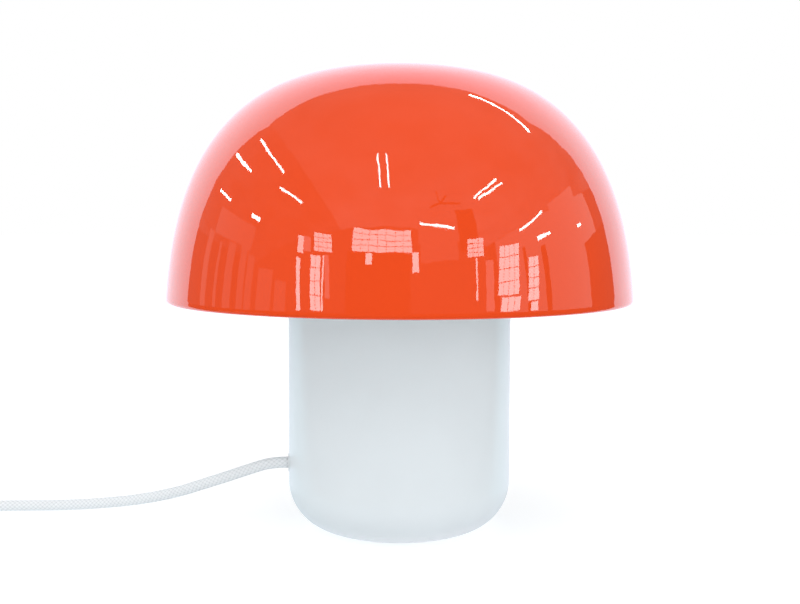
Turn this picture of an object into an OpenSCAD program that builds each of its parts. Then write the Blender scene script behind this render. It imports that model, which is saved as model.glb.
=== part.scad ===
// Mushroom table lamp: a domed metal shade over a cup-shaped body, with its lampholder, bulb and lead.
// The table is z = 0, the lamp's axis is z and the lead leaves the body toward -x.

/* [Shade] */
// Radius of the shade at its rim
shade_r = 125; // [118:1:140]
// Height of the rim above the table
rim_z = 124.5; // [112:0.5:132]
// Overall height of the lamp
lamp_h = 250; // [242:1:275]
// Squareness of the dome's outline, where 2 gives an ellipse
dome_power = 2.7; // [2.3:0.1:3.1]
// Depth of the dome's widest line below the rim
dome_drop = 34; // [26:1:42]
// Thickness of the shade's wall
shade_wall = 0.8; // [0.7:0.1:1.6]
// Radius of the rolled bead along the rim
rim_bead = 2.2; // [1.6:0.1:3]

/* [Shade seat] */
// Depth of the seat ring's flange below the top of the shade
seat_drop = 60; // [54:1:66]
// Width of the seat ring's flange
seat_w = 13; // [10:0.5:16]
// Height of the seat ring
seat_h = 9; // [6:0.5:12]
// Thickness of the seat ring's metal
seat_t = 1.2; // [0.8:0.1:2]

/* [Body] */
// Radius of the body
body_r = 60; // [54:1:66]
// Radius of the round corner at the foot
foot_round = 26.5; // [20:0.5:32]
// Height of the body's top edge above the shade's rim
body_rise = 12; // [8:1:15]
// Thickness of the body's wall
body_wall = 1; // [0.8:0.1:2]
// Radius of the dished middle of the floor
dish_r = 14; // [11:0.5:17]
// Depth of the dished middle of the floor
dish_h = 6; // [5:0.5:8]
// Thickness of the felt pad under the foot
pad_t = 1; // [0.5:0.1:2]
// Width of the felt pad ring
pad_w = 14; // [8:1:15]

/* [Ballast] */
// Height of the ballast's top face
ballast_top = 19; // [14:1:24]
// Radius of the ballast bolt's shank
bolt_r = 3; // [2.5:0.1:4]
// Width across the flats of the bolt's head and nut
bolt_flats = 10; // [8.5:0.1:13]
// Height of the bolt's head
bolt_head_h = 4; // [3:0.1:5]

/* [Top plate] */
// Thickness of the plate
plate_t = 1.2; // [0.8:0.1:2]
// Height of the plate's turned-up skirt
plate_skirt_h = 9; // [7:0.5:10]
// Radius of the plate's raised centre
plate_boss_r = 34; // [26:1:44]
// Radius of the shanks of the plate's side screws
side_screw_r = 1.5; // [1.2:0.1:2]

/* [Lampholder] */
// Radius of the threaded tube that carries the lampholder
nipple_r = 5; // [4.5:0.1:6]
// Radius of the bore of the threaded tube
nipple_bore = 3.6; // [3.3:0.1:4]
// Radius of the lampholder's body
holder_r = 14; // [13.5:0.1:15]
// Height of the lampholder's lower half
holder_cap_h = 20; // [18:0.5:22]
// Height of the lampholder's upper half
holder_skirt_h = 31; // [28:0.5:32]
// Thickness of the lampholder's wall
holder_wall = 2; // [1.5:0.1:2.5]
// Outer radius of the two ring nuts
ring_nut_r = 18; // [17:0.1:20]
// Height of each ring nut
ring_nut_h = 6; // [4:0.5:7]

/* [Shade carrier] */
// Height of the carrier hub above the lampholder's lower half
hub_rise = 10.8; // [8:0.1:14]
// Thickness of the carrier hub
hub_t = 2; // [1.5:0.1:3]
// Radius of the carrier hub
hub_r = 27; // [25:0.5:30]
// Width of each carrier arm
arm_w = 11; // [9:0.5:13]
// Thickness of each carrier arm
arm_t = 2; // [1.5:0.1:2.5]
// Distance of the pads' middles from the shade's inner face
pad_edge = 7.4; // [6.5:0.1:9]
// Radius of each silicone pad
pad_r = 3.6; // [3:0.1:4]
// Height of each pad above its arm
pad_h = 3; // [2:0.1:4]

/* [Bulb] */
// Radius of the bulb's globe
bulb_r = 22.5; // [20:0.5:24]
// Overall length of the bulb
bulb_len = 78; // [74:1:82]
// Radius of the bulb's screw cap
cap_r = 6.95; // [6.8:0.01:7]
// Air between the bulb and the top of the shade
bulb_clear = 15.8; // [10:0.1:20]

/* [Lead] */
// Outside diameter of the braided flex
flex_d = 6.2; // [5.6:0.1:6.4]
// Height at which the flex leaves the body
exit_z = 37; // [34:0.5:40]
// Thickness of the bush's outer lip
bush_lip = 0.8; // [0.5:0.1:1.5]
// Radius of the bush's lips
bush_r = 5.6; // [5:0.1:7]
// Air between the turns of the coil
coil_gap = 0.5; // [0.42:0.02:0.8]
// Radius of the coil's outermost turn
coil_r = 47.5; // [46:0.5:60]

/* [Lead switch] */
// Length of the switch
sw_l = 66; // [60:1:76]
// Width of the switch
sw_w = 28; // [26:0.5:32]
// Height of the switch
sw_h = 18.5; // [17:0.5:22]
// Thickness of the switch's shells
sw_wall = 1.8; // [1.4:0.1:2.2]
// Length of the rocker
rocker_l = 23; // [19:0.5:26]
// Width of the rocker
rocker_w = 11; // [9:0.5:12]
// Tilt of the rocker to each side
rocker_tilt = 9; // [5:1:11]

/* [Plug] */
// Width of the plug at its face
plug_w = 35.3; // [32:0.1:37]
// Thickness of the plug
plug_t = 13.7; // [12.5:0.1:16]
// Length of the plug's grip
plug_l = 34; // [30:1:40]
// Length of the ribbed boot
boot_l = 22; // [16:1:26]
// Distance between the pins
pin_gap = 18.6; // [17.5:0.1:19.2]
// Radius of the pins
pin_r = 2; // [1.9:0.05:2.4]
// Length of the pins beyond the plug's face
pin_l = 19; // [17:0.5:19]

/* [Hidden] */
$fn = 96;

// Clearances: pieces that stay put, moving pieces, a shaft in its bore, and a cut's overshoot
fit = 0.1;
gap = 0.3;
run = 0.08;
past = 1;

// Colours
orange = [0.94, 0.31, 0.15];
white = [0.95, 0.96, 0.96];
cord_white = [0.9, 0.92, 0.92];
steel = [0.72, 0.73, 0.75];
brass = [0.83, 0.68, 0.35];
iron = [0.24, 0.24, 0.25];

// Dome of the shade: a superellipse whose half-axes are dome_a and dome_b
dome_steps = 26;
equator_z = rim_z - dome_drop;
dome_b = lamp_h - equator_z;
dome_a = shade_r / pow(1 - pow(dome_drop / dome_b, dome_power), 1 / dome_power);
wall_foot_z = rim_z + rim_bead;

function dome_radius(z, inset) =
    (dome_a - inset) * pow(1 - pow((z - equator_z) / (dome_b - inset), dome_power), 1 / dome_power);

function dome_curve(inset, z) =
    let (start = asin(pow((z - equator_z) / (dome_b - inset), dome_power / 2)))
    [for (i = [0 : dome_steps])
        let (t = start + (90 - start) * i / dome_steps)
        [(dome_a - inset) * pow(max(cos(t), 0), 2 / dome_power),
         equator_z + (dome_b - inset) * pow(sin(t), 2 / dome_power)]];

// Heights inside the shade, from its top down to the plate's underside
boss_rise = 2;
contact_t = 0.5;
insert_rise = 5;
tip_gap = 0.2;
seat_z = lamp_h - seat_drop;
seat_out_r = dome_radius(seat_z, shade_wall + fit);
seat_in_r = seat_out_r - seat_w;
tip_z = lamp_h - shade_wall - bulb_clear - bulb_len;
insert_top = tip_z - tip_gap - 2 * contact_t;
skirt_z = insert_top - insert_rise;
boss_top = skirt_z - holder_cap_h;
plate_top = boss_top - boss_rise;
plate_z = plate_top - plate_t;

// Body: top edge, inner radius, floor and foot
plate_cover = 2;
body_top = max(rim_z + body_rise, plate_z + plate_skirt_h + plate_cover);
body_in_r = body_r - body_wall;
floor_z = pad_t;
floor_top = floor_z + body_wall;
foot_flat_r = body_r - foot_round;
dish_top = floor_z + dish_h;

// Ballast bolt: the head hangs in the dish and the nut bears on a washer
washer_t = 1.2;
washer_r = bolt_flats * 0.7;
nut_h = bolt_head_h * 1.2;
bolt_end = ballast_top + washer_t + nut_h + 3;

// Top plate's side screws
side_screw_z = plate_z + plate_skirt_h - 3.5;
side_screw_l = 7;
side_head_r = side_screw_r * 1.9;
side_head_h = 1.6;

// Lampholder: the neck stands on the raised centre of the plate
neck_r = nipple_r + 5;
neck_h = 8;
ledge_h = 12;
insert_r = holder_r - holder_wall;
insert_z = boss_top + ledge_h;
skirt_top = skirt_z + holder_skirt_h;
mouth_r = cap_r + 2.9;
mouth_h = 7;
nipple_nut_h = 3.5;
nipple_washer_t = 1;
nipple_foot = plate_z + boss_rise - nipple_washer_t - nipple_nut_h - 2.5;
hub_z = skirt_z + hub_rise;
nipple_top = boss_top + neck_h + 1;
terminal_x = 7.4;
terminal_r = 1.5;
wire_x = 4;
wire_r = 1.1;

// Bulb: the tip rests just above the centre contact
cap_foot = tip_z + 3;
collar_z = skirt_top - 4;
collar_r = cap_r + 1.7;
cap_wall = 0.5;
glass_t = 0.8;
globe_z = tip_z + bulb_len - bulb_r;

// Shade carrier: arms rise from the hub to the pads under the seat ring
arm_count = 3;
arm_turn = 30;
arm_end_flat = 11;
pad_circle = seat_out_r - pad_edge;
arm_rise_from = hub_r + 8;
arm_rise_to = pad_circle - arm_end_flat / 2;
arm_foot_z = hub_z + hub_t + arm_t / 2;
arm_end_z = seat_z - gap - pad_h - arm_t / 2;
arm_start_r = ring_nut_r + gap;
rivet_circle = (arm_start_r + hub_r) / 2;
rivet_r = 1.6;
pad_stem_r = pad_r * 0.55;

// Lead, cord grip and bush
flex_r = flex_d / 2;
bush_hole_r = flex_r + 1.2;
bush_depth = 5;
grip_in = 19;
grip_x = grip_in - body_r;
grip_l = 15;
grip_w = 22;
grip_bar_h = 3;
grip_screw_y = 7.6;
grip_screw_r = 1.4;
grip_top = exit_z - flex_r * 0.4;
grip_split = 0.6;
grip_bite = 8;
screw_slot = 0.6;

// Switch: where it lies, with the flex at its middle height
sw_x = -268;
sw_y = -33;
sw_axis_z = 8.5;
sw_end_round = 9;
pivot_z = sw_h - 2.6;
pivot_r = 1.5;
pivot_l = 1.3;
well_w = rocker_w + 2 * gap;
well_l = rocker_l + 3 * gap;
well_wall = 1.6;
well_depth = 8;
sw_screw_x = 9.2;
sw_screw_y = 21;
sw_screw_r = 1.3;
sw_post_r = 3;
sw_head_r = 2.4;
sw_head_h = 1.8;

// Plug: where its face lies, with the pins toward +y
plug_x = -363;
plug_face_y = -6;
plug_z = plug_t / 2;
boot_z = 7;
sleeve_l = 10;
sleeve_r = pin_r - 0.2;
pin_neck_r = pin_r * 0.65;
pin_root = 12;

// Coil: its centre, its pitch and how many turns it has, spiralling in below and out above
coil_x = sw_x - coil_r;
coil_y = -118;
coil_pitch = flex_d + coil_gap;
coil_turns = 6.5;
rings_per_turn = 24;
climb_turns = 0.5;
coil_sides = 6;
flex_sides = 10;
core_sides = 8;

// Routes of the flex, chosen by hand
wall_out = -body_r - bush_lip;
riser_z = exit_z + 44;
flex_top = plate_z + 8;
riser_steps = 4;
inner_route = [[wall_out, 0, exit_z], [8 - body_r, 0, exit_z], [grip_x + 7, 0, exit_z],
    [-26, 0, exit_z + 1.3], [-17, 0, exit_z + 5.5], [-9, 0, exit_z + 12.5],
    [-3.4, 0, exit_z + 21.5], [-0.7, 0, exit_z + 32],
    for (i = [0 : riser_steps]) [0, 0, riser_z + (flex_top - riser_z) * i / riser_steps]];
lamp_route = [[wall_out, 0, exit_z], [-64.8, 0, exit_z], [-72, 1.1, 36], [-80, 3.9, 33.2],
    [-93, 8.8, 28.1], [-106.5, 15.2, 22.7], [-120, 22.4, 17.3], [-134, 30, 12.8],
    [-148, 37.6, 9.2], [-162, 44.6, 6.5], [-176, 50, 4.6], [-190, 53.8, 3.5],
    [-206, 56, 3.1], [-222, 56.8, 3.1], [-236, 56.4, 3.1], [-249, 52.9, 3.1],
    [-259.5, 44.6, 3.6], [-266, 33, 4.9], [-268, 21, 6.7], [-268, 13, 7.9], [-268, 6, 8.5],
    [-268, 0, 8.5]];
coil_start_y = coil_y + flex_d;
lead_route = [[-268, -66, 8.5], [-268, -72, 8.5], [-268, -80, 7.9], [-268, -90, 6],
    [-268, -99, 4], [-268, coil_start_y + 6, flex_r], [-268, coil_start_y, flex_r]];
tail_route = [[-363, coil_start_y, 9.8], [-363, coil_start_y + 6, 9.8], [-363, -98, 9.3],
    [-363, -88, 8.2], [-363, -78, 7.3], [-363, -68, 7], [-363, -62, 7]];

function unit(v) = v / norm(v);

function heading(path, i) =
    let (last = len(path) - 1)
    unit(path[min(i + 1, last)] - path[max(i - 1, 0)]);

// One ring of a tube: its points go round the path, with side as the ring's flat direction
function ring(centre, along, side, r, sides) =
    let (u = unit(cross(along, side)), v = cross(along, u))
    [for (k = [0 : sides - 1])
        let (a = 360 * (k + 0.5) / sides)
        centre + r * (cos(a) * u + sin(a) * v)];

module tube(path, r, sides, side) {
    count = len(path);
    points = [for (i = [0 : count - 1])
        each ring(path[i], heading(path, i), side, r, sides)];
    walls = [for (i = [0 : count - 2], k = [0 : sides - 1])
        let (a = i * sides + k, b = i * sides + (k + 1) % sides)
        each [[a, b + sides, b], [a, a + sides, b + sides]]];
    foot = [for (k = [0 : sides - 1]) k];
    head = [for (k = [sides - 1 : -1 : 0]) (count - 1) * sides + k];
    polyhedron(points = points, faces = concat([foot], walls, [head]));
}

// The coil's centreline: turns run clockwise, and the height changes only where the spiral reverses
function coil_point(t) =
    let (
        half = coil_turns / 2,
        r = coil_r - coil_pitch * (half - abs(t - half)),
        climb = min(max((t - half + climb_turns / 2) / climb_turns, 0), 1),
        ease = climb * climb * (3 - 2 * climb)
    )
    [coil_x + r * cos(360 * t), coil_y - r * sin(360 * t), flex_r + coil_pitch * ease];

coil_rings = coil_turns * rings_per_turn;
coil_path = [
    [coil_x + coil_r, coil_start_y, flex_r],
    for (i = [0 : coil_rings]) coil_point(i / rings_per_turn),
    [coil_x - coil_r, coil_start_y, flex_r + coil_pitch]];
coil_least = min([for (i = [0 : len(coil_path) - 1], k = [i + rings_per_turn / 2 : len(coil_path) - 1])
    norm(coil_path[i] - coil_path[k])]) - flex_d;
echo(coil_least_gap = coil_least);

// A ring with a rectangular section
module band(r_in, r_out, z, h) {
    rotate_extrude()
        translate([r_in, z])
            square([r_out - r_in, h]);
}

// Half of the dome's outline, cut level at a height
module dome_half(inset, z) {
    polygon(concat([[0, z]], dome_curve(inset, z)));
}

// Half of an upright cup's outline with a round foot
module cup_half(r, corner, foot, top) {
    translate([0, foot + corner])
        square([r, top - foot - corner]);
    translate([0, foot])
        square([r - corner, corner]);
    translate([r - corner, foot + corner])
        intersection() {
            circle(corner);
            translate([0, -corner])
                square(corner);
        }
}

// Places copies on the three arms
module on_arms() {
    for (i = [0 : arm_count - 1])
        rotate(arm_turn + i * 360 / arm_count)
            children();
}

module shade_shell() {
    color(orange)
        rotate_extrude() {
            difference() {
                dome_half(0, wall_foot_z);
                dome_half(shade_wall, wall_foot_z - past);
            }
            translate([dome_radius(wall_foot_z, 0) - rim_bead, wall_foot_z])
                circle(rim_bead);
        }
}

module shade_seat_ring() {
    inset = shade_wall + fit;
    color(white)
        rotate_extrude()
            intersection() {
                dome_half(inset, wall_foot_z);
                union() {
                    translate([seat_in_r, seat_z])
                        square([shade_r - seat_in_r, seat_t]);
                    difference() {
                        translate([seat_in_r, seat_z])
                            square([shade_r - seat_in_r, seat_h]);
                        dome_half(inset + seat_t, wall_foot_z);
                    }
                }
            }
}

module carrier_hub() {
    color(steel)
        difference() {
            band(holder_r + run, hub_r, hub_z, hub_t);
            on_arms()
                translate([rivet_circle, 0, hub_z - past])
                    cylinder(r = rivet_r, h = hub_t + 2 * past);
        }
}

// Side view of one arm: flat on the hub, an easy rise, then flat under the pad
module arm_side() {
    steps = 12;
    rise = [for (i = [0 : steps])
        let (u = i / steps)
        [arm_rise_from + (arm_rise_to - arm_rise_from) * u,
         arm_foot_z + (arm_end_z - arm_foot_z) * u * u * (3 - 2 * u)]];
    line = concat([[arm_start_r, arm_foot_z]], rise, [[arm_rise_to + arm_end_flat, arm_end_z]]);
    half = [for (i = [0 : len(line) - 1])
        let (d = unit(line[min(i + 1, len(line) - 1)] - line[max(i - 1, 0)]))
        [-d.y, d.x] * arm_t / 2];
    last = len(line) - 1;
    polygon(concat([for (i = [0 : last]) line[i] + half[i]],
        [for (i = [last : -1 : 0]) line[i] - half[i]]));
}

module carrier_arms() {
    color(steel)
        on_arms()
            difference() {
                rotate([90, 0, 0])
                    linear_extrude(arm_w, center = true)
                        arm_side();
                translate([rivet_circle, 0, hub_z])
                    cylinder(r = rivet_r, h = hub_t + 2 * arm_t);
                translate([pad_circle, 0, arm_end_z - 2 * arm_t])
                    cylinder(r = pad_stem_r, h = 4 * arm_t);
            }
}

module carrier_rivets() {
    head_h = 0.9;
    color(steel)
        on_arms()
            translate([rivet_circle, 0, hub_z - head_h]) {
                cylinder(r = rivet_r * 1.7, h = head_h);
                cylinder(r = rivet_r - fit / 2, h = head_h + hub_t + arm_t);
                translate([0, 0, head_h + hub_t + arm_t])
                    cylinder(r1 = rivet_r * 1.7, r2 = rivet_r, h = head_h);
            }
}

module carrier_pads() {
    arm_top = arm_end_z + arm_t / 2;
    arm_under = arm_end_z - arm_t / 2;
    lug_h = 1.6;
    color(white)
        on_arms()
            translate([pad_circle, 0, 0]) {
                translate([0, 0, arm_top])
                    cylinder(r = pad_r, h = pad_h);
                translate([0, 0, arm_under])
                    cylinder(r = pad_stem_r - fit / 2, h = arm_t);
                translate([0, 0, arm_under - lug_h])
                    cylinder(r1 = pad_stem_r * 0.8, r2 = pad_r * 0.8, h = lug_h);
            }
}

module body_shell() {
    color(white)
        difference() {
            rotate_extrude()
                difference() {
                    cup_half(body_r, foot_round, floor_z, body_top);
                    difference() {
                        cup_half(body_in_r, foot_round - body_wall, floor_top, body_top + past);
                        translate([0, floor_z])
                            square([dish_r + body_wall, dish_h + body_wall]);
                    }
                    square([dish_r, dish_top]);
                }
            cylinder(r = bolt_r + fit, h = dish_top + 2 * body_wall);
            translate([-body_r - past, 0, exit_z])
                rotate([0, 90, 0])
                    cylinder(r = bush_hole_r, h = foot_round);
            side_screw_places()
                cylinder(r = side_screw_r + fit, h = side_screw_l * 2, center = true);
        }
}

// Axes of the three side screws, outward, from the body's outer face
module side_screw_places() {
    for (i = [0 : 2])
        rotate(90 + i * 120)
            translate([body_r, 0, side_screw_z])
                rotate([0, 90, 0])
                    children();
}

module top_plate() {
    skirt_r = body_in_r - fit;
    color(white)
        difference() {
            union() {
                band(nipple_r + fit, plate_boss_r, plate_z + boss_rise, plate_t);
                band(plate_boss_r - plate_t, plate_boss_r, plate_z, boss_rise + plate_t);
                band(plate_boss_r - plate_t, skirt_r, plate_z, plate_t);
                band(skirt_r - plate_t, skirt_r, plate_z, plate_skirt_h);
            }
            side_screw_places()
                cylinder(r = side_screw_r + fit, h = side_screw_l * 2, center = true);
        }
}

module top_plate_screws() {
    color(steel)
        side_screw_places() {
            translate([0, 0, -side_screw_l])
                cylinder(r = side_screw_r, h = side_screw_l);
            difference() {
                cylinder(r1 = side_head_r, r2 = side_head_r * 0.75, h = side_head_h);
                cube([side_head_r * 1.2, screw_slot, side_head_h * 3], center = true);
                cube([screw_slot, side_head_r * 1.2, side_head_h * 3], center = true);
            }
        }
}

module ballast() {
    color(iron)
        difference() {
            rotate_extrude()
                difference() {
                    cup_half(body_in_r - gap, foot_round - body_wall, floor_top, ballast_top + foot_round);
                    translate([0, ballast_top])
                        square([body_r, 2 * foot_round]);
                    translate([0, floor_top - past])
                        square([dish_r + body_wall + gap, dish_h + past]);
                }
            cylinder(r = bolt_r + fit, h = ballast_top + past);
        }
}

module ballast_bolt() {
    color(steel) {
        translate([0, 0, dish_top - bolt_head_h])
            cylinder(d = bolt_flats / cos(30), h = bolt_head_h, $fn = 6);
        translate([0, 0, dish_top - fit])
            cylinder(r = bolt_r, h = bolt_end - dish_top + fit);
    }
}

module ballast_washer() {
    color(steel)
        band(bolt_r + fit, washer_r, ballast_top, washer_t);
}

// A hexagon nut standing on the height z
module hex_nut(flats, bore, z, h) {
    translate([0, 0, z])
        difference() {
            cylinder(d = flats / cos(30), h = h, $fn = 6);
            translate([0, 0, -past])
                cylinder(r = bore, h = h + 2 * past);
        }
}

module ballast_nut() {
    color(steel)
        hex_nut(bolt_flats, bolt_r + fit / 2, ballast_top + washer_t, nut_h);
}

module base_pad() {
    color(iron)
        band(foot_flat_r - pad_w, foot_flat_r - past, 0, pad_t);
}

module nipple() {
    color(steel)
        band(nipple_bore, nipple_r, nipple_foot, nipple_top - nipple_foot);
}

module nipple_washer() {
    color(steel)
        band(nipple_r + fit, nipple_r * 2, plate_z + boss_rise - nipple_washer_t, nipple_washer_t);
}

module nipple_nut() {
    color(steel)
        hex_nut(nipple_r * 2.8, nipple_r + fit / 2,
            plate_z + boss_rise - nipple_washer_t - nipple_nut_h, nipple_nut_h);
}

module holder_cap() {
    flare = holder_r - neck_r;
    color(white)
        difference() {
            translate([0, 0, boss_top]) {
                cylinder(r = neck_r, h = neck_h);
                translate([0, 0, neck_h - flare])
                    cylinder(r1 = neck_r, r2 = holder_r, h = flare);
                translate([0, 0, neck_h])
                    cylinder(r = holder_r, h = holder_cap_h - neck_h);
            }
            cylinder(r = nipple_r + fit / 2, h = nipple_top + fit);
            translate([0, 0, nipple_top])
                cylinder(r = insert_r - 1.5, h = holder_cap_h);
            translate([0, 0, insert_z])
                cylinder(r = insert_r, h = holder_cap_h);
            lock_screw_place()
                cylinder(r = grip_screw_r + fit, h = neck_r + past);
        }
}

module lock_screw_place() {
    translate([0, 0, boss_top + neck_h / 2 - 0.5])
        rotate([-90, 0, 0])
            children();
}

module holder_lock_screw() {
    length = neck_r - nipple_r - 0.4;
    color(steel)
        lock_screw_place()
            translate([0, 0, nipple_r + fit])
                difference() {
                    cylinder(r = grip_screw_r, h = length);
                    translate([0, 0, length])
                        cube([2 * grip_screw_r + past, screw_slot, 1.6], center = true);
                }
}

module holder_insert() {
    color(white)
        difference() {
            translate([0, 0, insert_z])
                cylinder(r = insert_r - fit, h = insert_top - insert_z);
            for (s = [-1, 1]) {
                translate([s * terminal_x, 0, insert_z - past])
                    cylinder(r = terminal_r + fit, h = past + 7);
                translate([s * wire_x, 0, insert_z - past])
                    cylinder(r = wire_r + fit, h = past + 5);
            }
        }
}

module holder_skirt() {
    color(white)
        difference() {
            translate([0, 0, skirt_z])
                cylinder(r = holder_r, h = holder_skirt_h);
            translate([0, 0, skirt_z - past])
                cylinder(r = insert_r, h = insert_top - skirt_z + past);
            translate([0, 0, skirt_z])
                cylinder(r = cap_r + run, h = holder_skirt_h + past);
            translate([0, 0, skirt_top - mouth_h])
                cylinder(r = mouth_r, h = mouth_h + past);
            translate([0, -2.2, skirt_z])
                cube([cap_r + 1.6, 4.4, insert_top - skirt_z + 11]);
        }
}

// A ring nut with grip notches round its edge
module ring_nut(z) {
    notches = 18;
    difference() {
        band(holder_r + fit, ring_nut_r, z, ring_nut_h);
        for (i = [0 : notches - 1])
            rotate(i * 360 / notches)
                translate([ring_nut_r + 0.5, 0, z - past])
                    cylinder(r = 1.2, h = ring_nut_h + 2 * past);
    }
}

module lower_ring_nut() {
    color(white)
        ring_nut(hub_z - gap - ring_nut_h);
}

module upper_ring_nut() {
    color(white)
        ring_nut(hub_z + hub_t + gap);
}

module centre_contact() {
    color(brass)
        translate([0, 0, insert_top]) {
            translate([-5, -1.8, 0])
                cube([10, 3.6, contact_t]);
            cylinder(r = 1.6, h = 2 * contact_t);
        }
}

module side_contact() {
    color(brass)
        translate([cap_r + 0.6, -1.9, insert_top])
            cube([contact_t, 3.8, 10]);
}

module terminal_screws() {
    color(brass)
        for (s = [-1, 1])
            translate([s * terminal_x, 0, insert_z]) {
                translate([0, 0, -1.4])
                    difference() {
                        cylinder(r = terminal_r * 1.5, h = 1.4);
                        cube([terminal_r * 4, screw_slot, 1.2], center = true);
                    }
                cylinder(r = terminal_r, h = 6);
            }
}

// A core that leaves the flex's end and goes up into its hole in the insert
module core_wire(s) {
    foot_x = 1.3;
    half = (flex_top + insert_z) / 2;
    tube([[s * foot_x, 0, flex_top], [s * foot_x, 0, flex_top + 1.5],
        [s * (foot_x + wire_x) / 2, 0, half + 1], [s * wire_x, 0, insert_z - 0.6],
        [s * wire_x, 0, insert_z + 4]], wire_r, core_sides, [0, 1, 0]);
}

module live_wire() {
    color("saddlebrown")
        core_wire(-1);
}

module neutral_wire() {
    color("royalblue")
        core_wire(1);
}

// Half of the globe's outline with its neck
module globe_half(inset) {
    globe_r = bulb_r - inset;
    glass_neck_r = collar_r - cap_wall - fit - inset;
    shoulder = 35;
    neck_foot = collar_z + 1;
    intersection() {
        translate([0, globe_z])
            circle(globe_r);
        translate([0, globe_z - bulb_r])
            square([bulb_r, 2 * bulb_r]);
    }
    polygon([[0, neck_foot], [glass_neck_r, neck_foot], [glass_neck_r, skirt_top],
        [globe_r * cos(shoulder), globe_z - globe_r * sin(shoulder)], [0, globe_z]]);
}

module bulb_globe() {
    color(white)
        rotate_extrude()
            difference() {
                globe_half(0);
                translate([0, -past / 2])
                    globe_half(glass_t);
            }
}

module bulb_cap() {
    color(steel)
        rotate_extrude()
            polygon([[cap_r - cap_wall, cap_foot], [cap_r, cap_foot], [cap_r, collar_z - 2],
                [collar_r, collar_z], [collar_r, skirt_top - 0.5], [collar_r - cap_wall, skirt_top - 0.5],
                [collar_r - cap_wall, collar_z], [cap_r - cap_wall, collar_z - 2]]);
}

module bulb_insulator() {
    color(iron)
        translate([0, 0, tip_z + 1])
            cylinder(r1 = 3.2, r2 = cap_r - cap_wall - fit, h = cap_foot - tip_z);
}

module bulb_tip() {
    color(brass)
        translate([0, 0, tip_z])
            cylinder(r1 = 1.8, r2 = 2.4, h = 1);
}

// Puts a shape that is built along +z onto the lead's way out through the body's wall
module at_exit(x) {
    translate([x, 0, exit_z])
        rotate([0, -90, 0])
            children();
}

module cord_bush() {
    flange_r = bush_hole_r + 1.6;
    flange_t = 2.6;
    lip_root = 0.5;
    color(white)
        difference() {
            union() {
                difference() {
                    at_exit(lip_root - body_r)
                        cylinder(r1 = bush_r, r2 = bush_r - 0.4, h = bush_lip + lip_root);
                    cylinder(r = body_r, h = body_top);
                }
                at_exit(bush_depth - body_r)
                    cylinder(r = bush_hole_r - fit, h = bush_depth + bush_lip / 2);
                intersection() {
                    at_exit(flange_t - body_in_r)
                        cylinder(r = flange_r, h = flange_t);
                    cylinder(r = body_in_r - fit, h = body_top);
                }
            }
            at_exit(bush_depth + past - body_r)
                cylinder(r = flex_r + fit, h = bush_depth + bush_lip + 2 * past);
        }
}

// The flex's way through the cord grip
module grip_groove() {
    at_exit(grip_x + grip_l)
        cylinder(r = flex_r + fit, h = 2 * grip_l);
}

// Places of the grip's two screws, at a height
module at_grip_screws(z) {
    for (s = [-1, 1])
        translate([grip_x, s * grip_screw_y, z])
            children();
}

module cord_grip_base() {
    color(white)
        difference() {
            translate([grip_x - grip_l / 2, -grip_w / 2, ballast_top])
                cube([grip_l, grip_w, grip_top - ballast_top]);
            grip_groove();
            at_grip_screws(grip_top - grip_bite)
                cylinder(r = grip_screw_r + fit / 2, h = grip_bite + past);
        }
}

module cord_grip_bar() {
    under = grip_top + grip_split;
    bar_top = exit_z + flex_r + grip_bar_h;
    color(white)
        difference() {
            translate([grip_x - grip_l / 4, -grip_w / 2, under])
                cube([grip_l / 2, grip_w, bar_top - under]);
            grip_groove();
            at_grip_screws(under - past)
                cylinder(r = grip_screw_r + fit, h = bar_top - under + 2 * past);
        }
}

module cord_grip_screws() {
    bar_top = exit_z + flex_r + grip_bar_h;
    length = bar_top - grip_top + grip_bite - 1;
    head_h = 1.6;
    color(steel)
        at_grip_screws(bar_top) {
            translate([0, 0, -length])
                cylinder(r = grip_screw_r, h = length);
            difference() {
                cylinder(r1 = grip_screw_r * 2, r2 = grip_screw_r * 1.6, h = head_h);
                translate([0, 0, head_h])
                    cube([grip_screw_r * 3, screw_slot, head_h], center = true);
            }
        }
}

module inner_flex() {
    color(cord_white)
        tube(inner_route, flex_r, flex_sides, [0, 1, 0]);
}

module lamp_flex() {
    color(cord_white)
        tube(lamp_route, flex_r, flex_sides, [0, 0, 1]);
}

module lead_flex() {
    color(cord_white)
        tube(lead_route, flex_r, flex_sides, [0, 0, 1]);
}

module flex_coil() {
    color(cord_white)
        tube(coil_path, flex_r, coil_sides, [0, 0, 1]);
}

module tail_flex() {
    color(cord_white)
        tube(tail_route, flex_r, flex_sides, [0, 0, 1]);
}

// Plan of the switch: a bar with slightly bowed sides and round corners, less an inset
module switch_plan(inset) {
    bow_r = 150;
    intersection() {
        translate([bow_r - sw_w / 2 + inset, 0])
            circle(bow_r, $fn = 240);
        translate([sw_w / 2 - inset - bow_r, 0])
            circle(bow_r, $fn = 240);
        union() {
            square([sw_w, sw_l - 2 * sw_end_round], center = true);
            square([sw_w - 2 * sw_end_round, sw_l - 2 * inset], center = true);
            for (sx = [-1, 1], sy = [-1, 1])
                translate([sx * (sw_w / 2 - sw_end_round), sy * (sw_l / 2 - sw_end_round)])
                    circle(sw_end_round - inset);
        }
    }
}

// Side view of the switch along y: a low crown that falls toward both ends, less an inset
module switch_crown(inset) {
    crown_r = 160;
    intersection() {
        translate([0, sw_h - inset - crown_r])
            circle(crown_r, $fn = 240);
        translate([-sw_l, 0])
            square([2 * sw_l, sw_h]);
    }
}

// The switch's outer body, or its hollow, between two heights
module switch_block(inset, z0, z1) {
    intersection() {
        translate([0, 0, z0])
            linear_extrude(z1 - z0)
                switch_plan(inset);
        rotate([90, 0, 90])
            linear_extrude(2 * sw_w, center = true)
                switch_crown(inset);
    }
}

module at_switch() {
    translate([sw_x, sw_y, 0])
        children();
}

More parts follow.
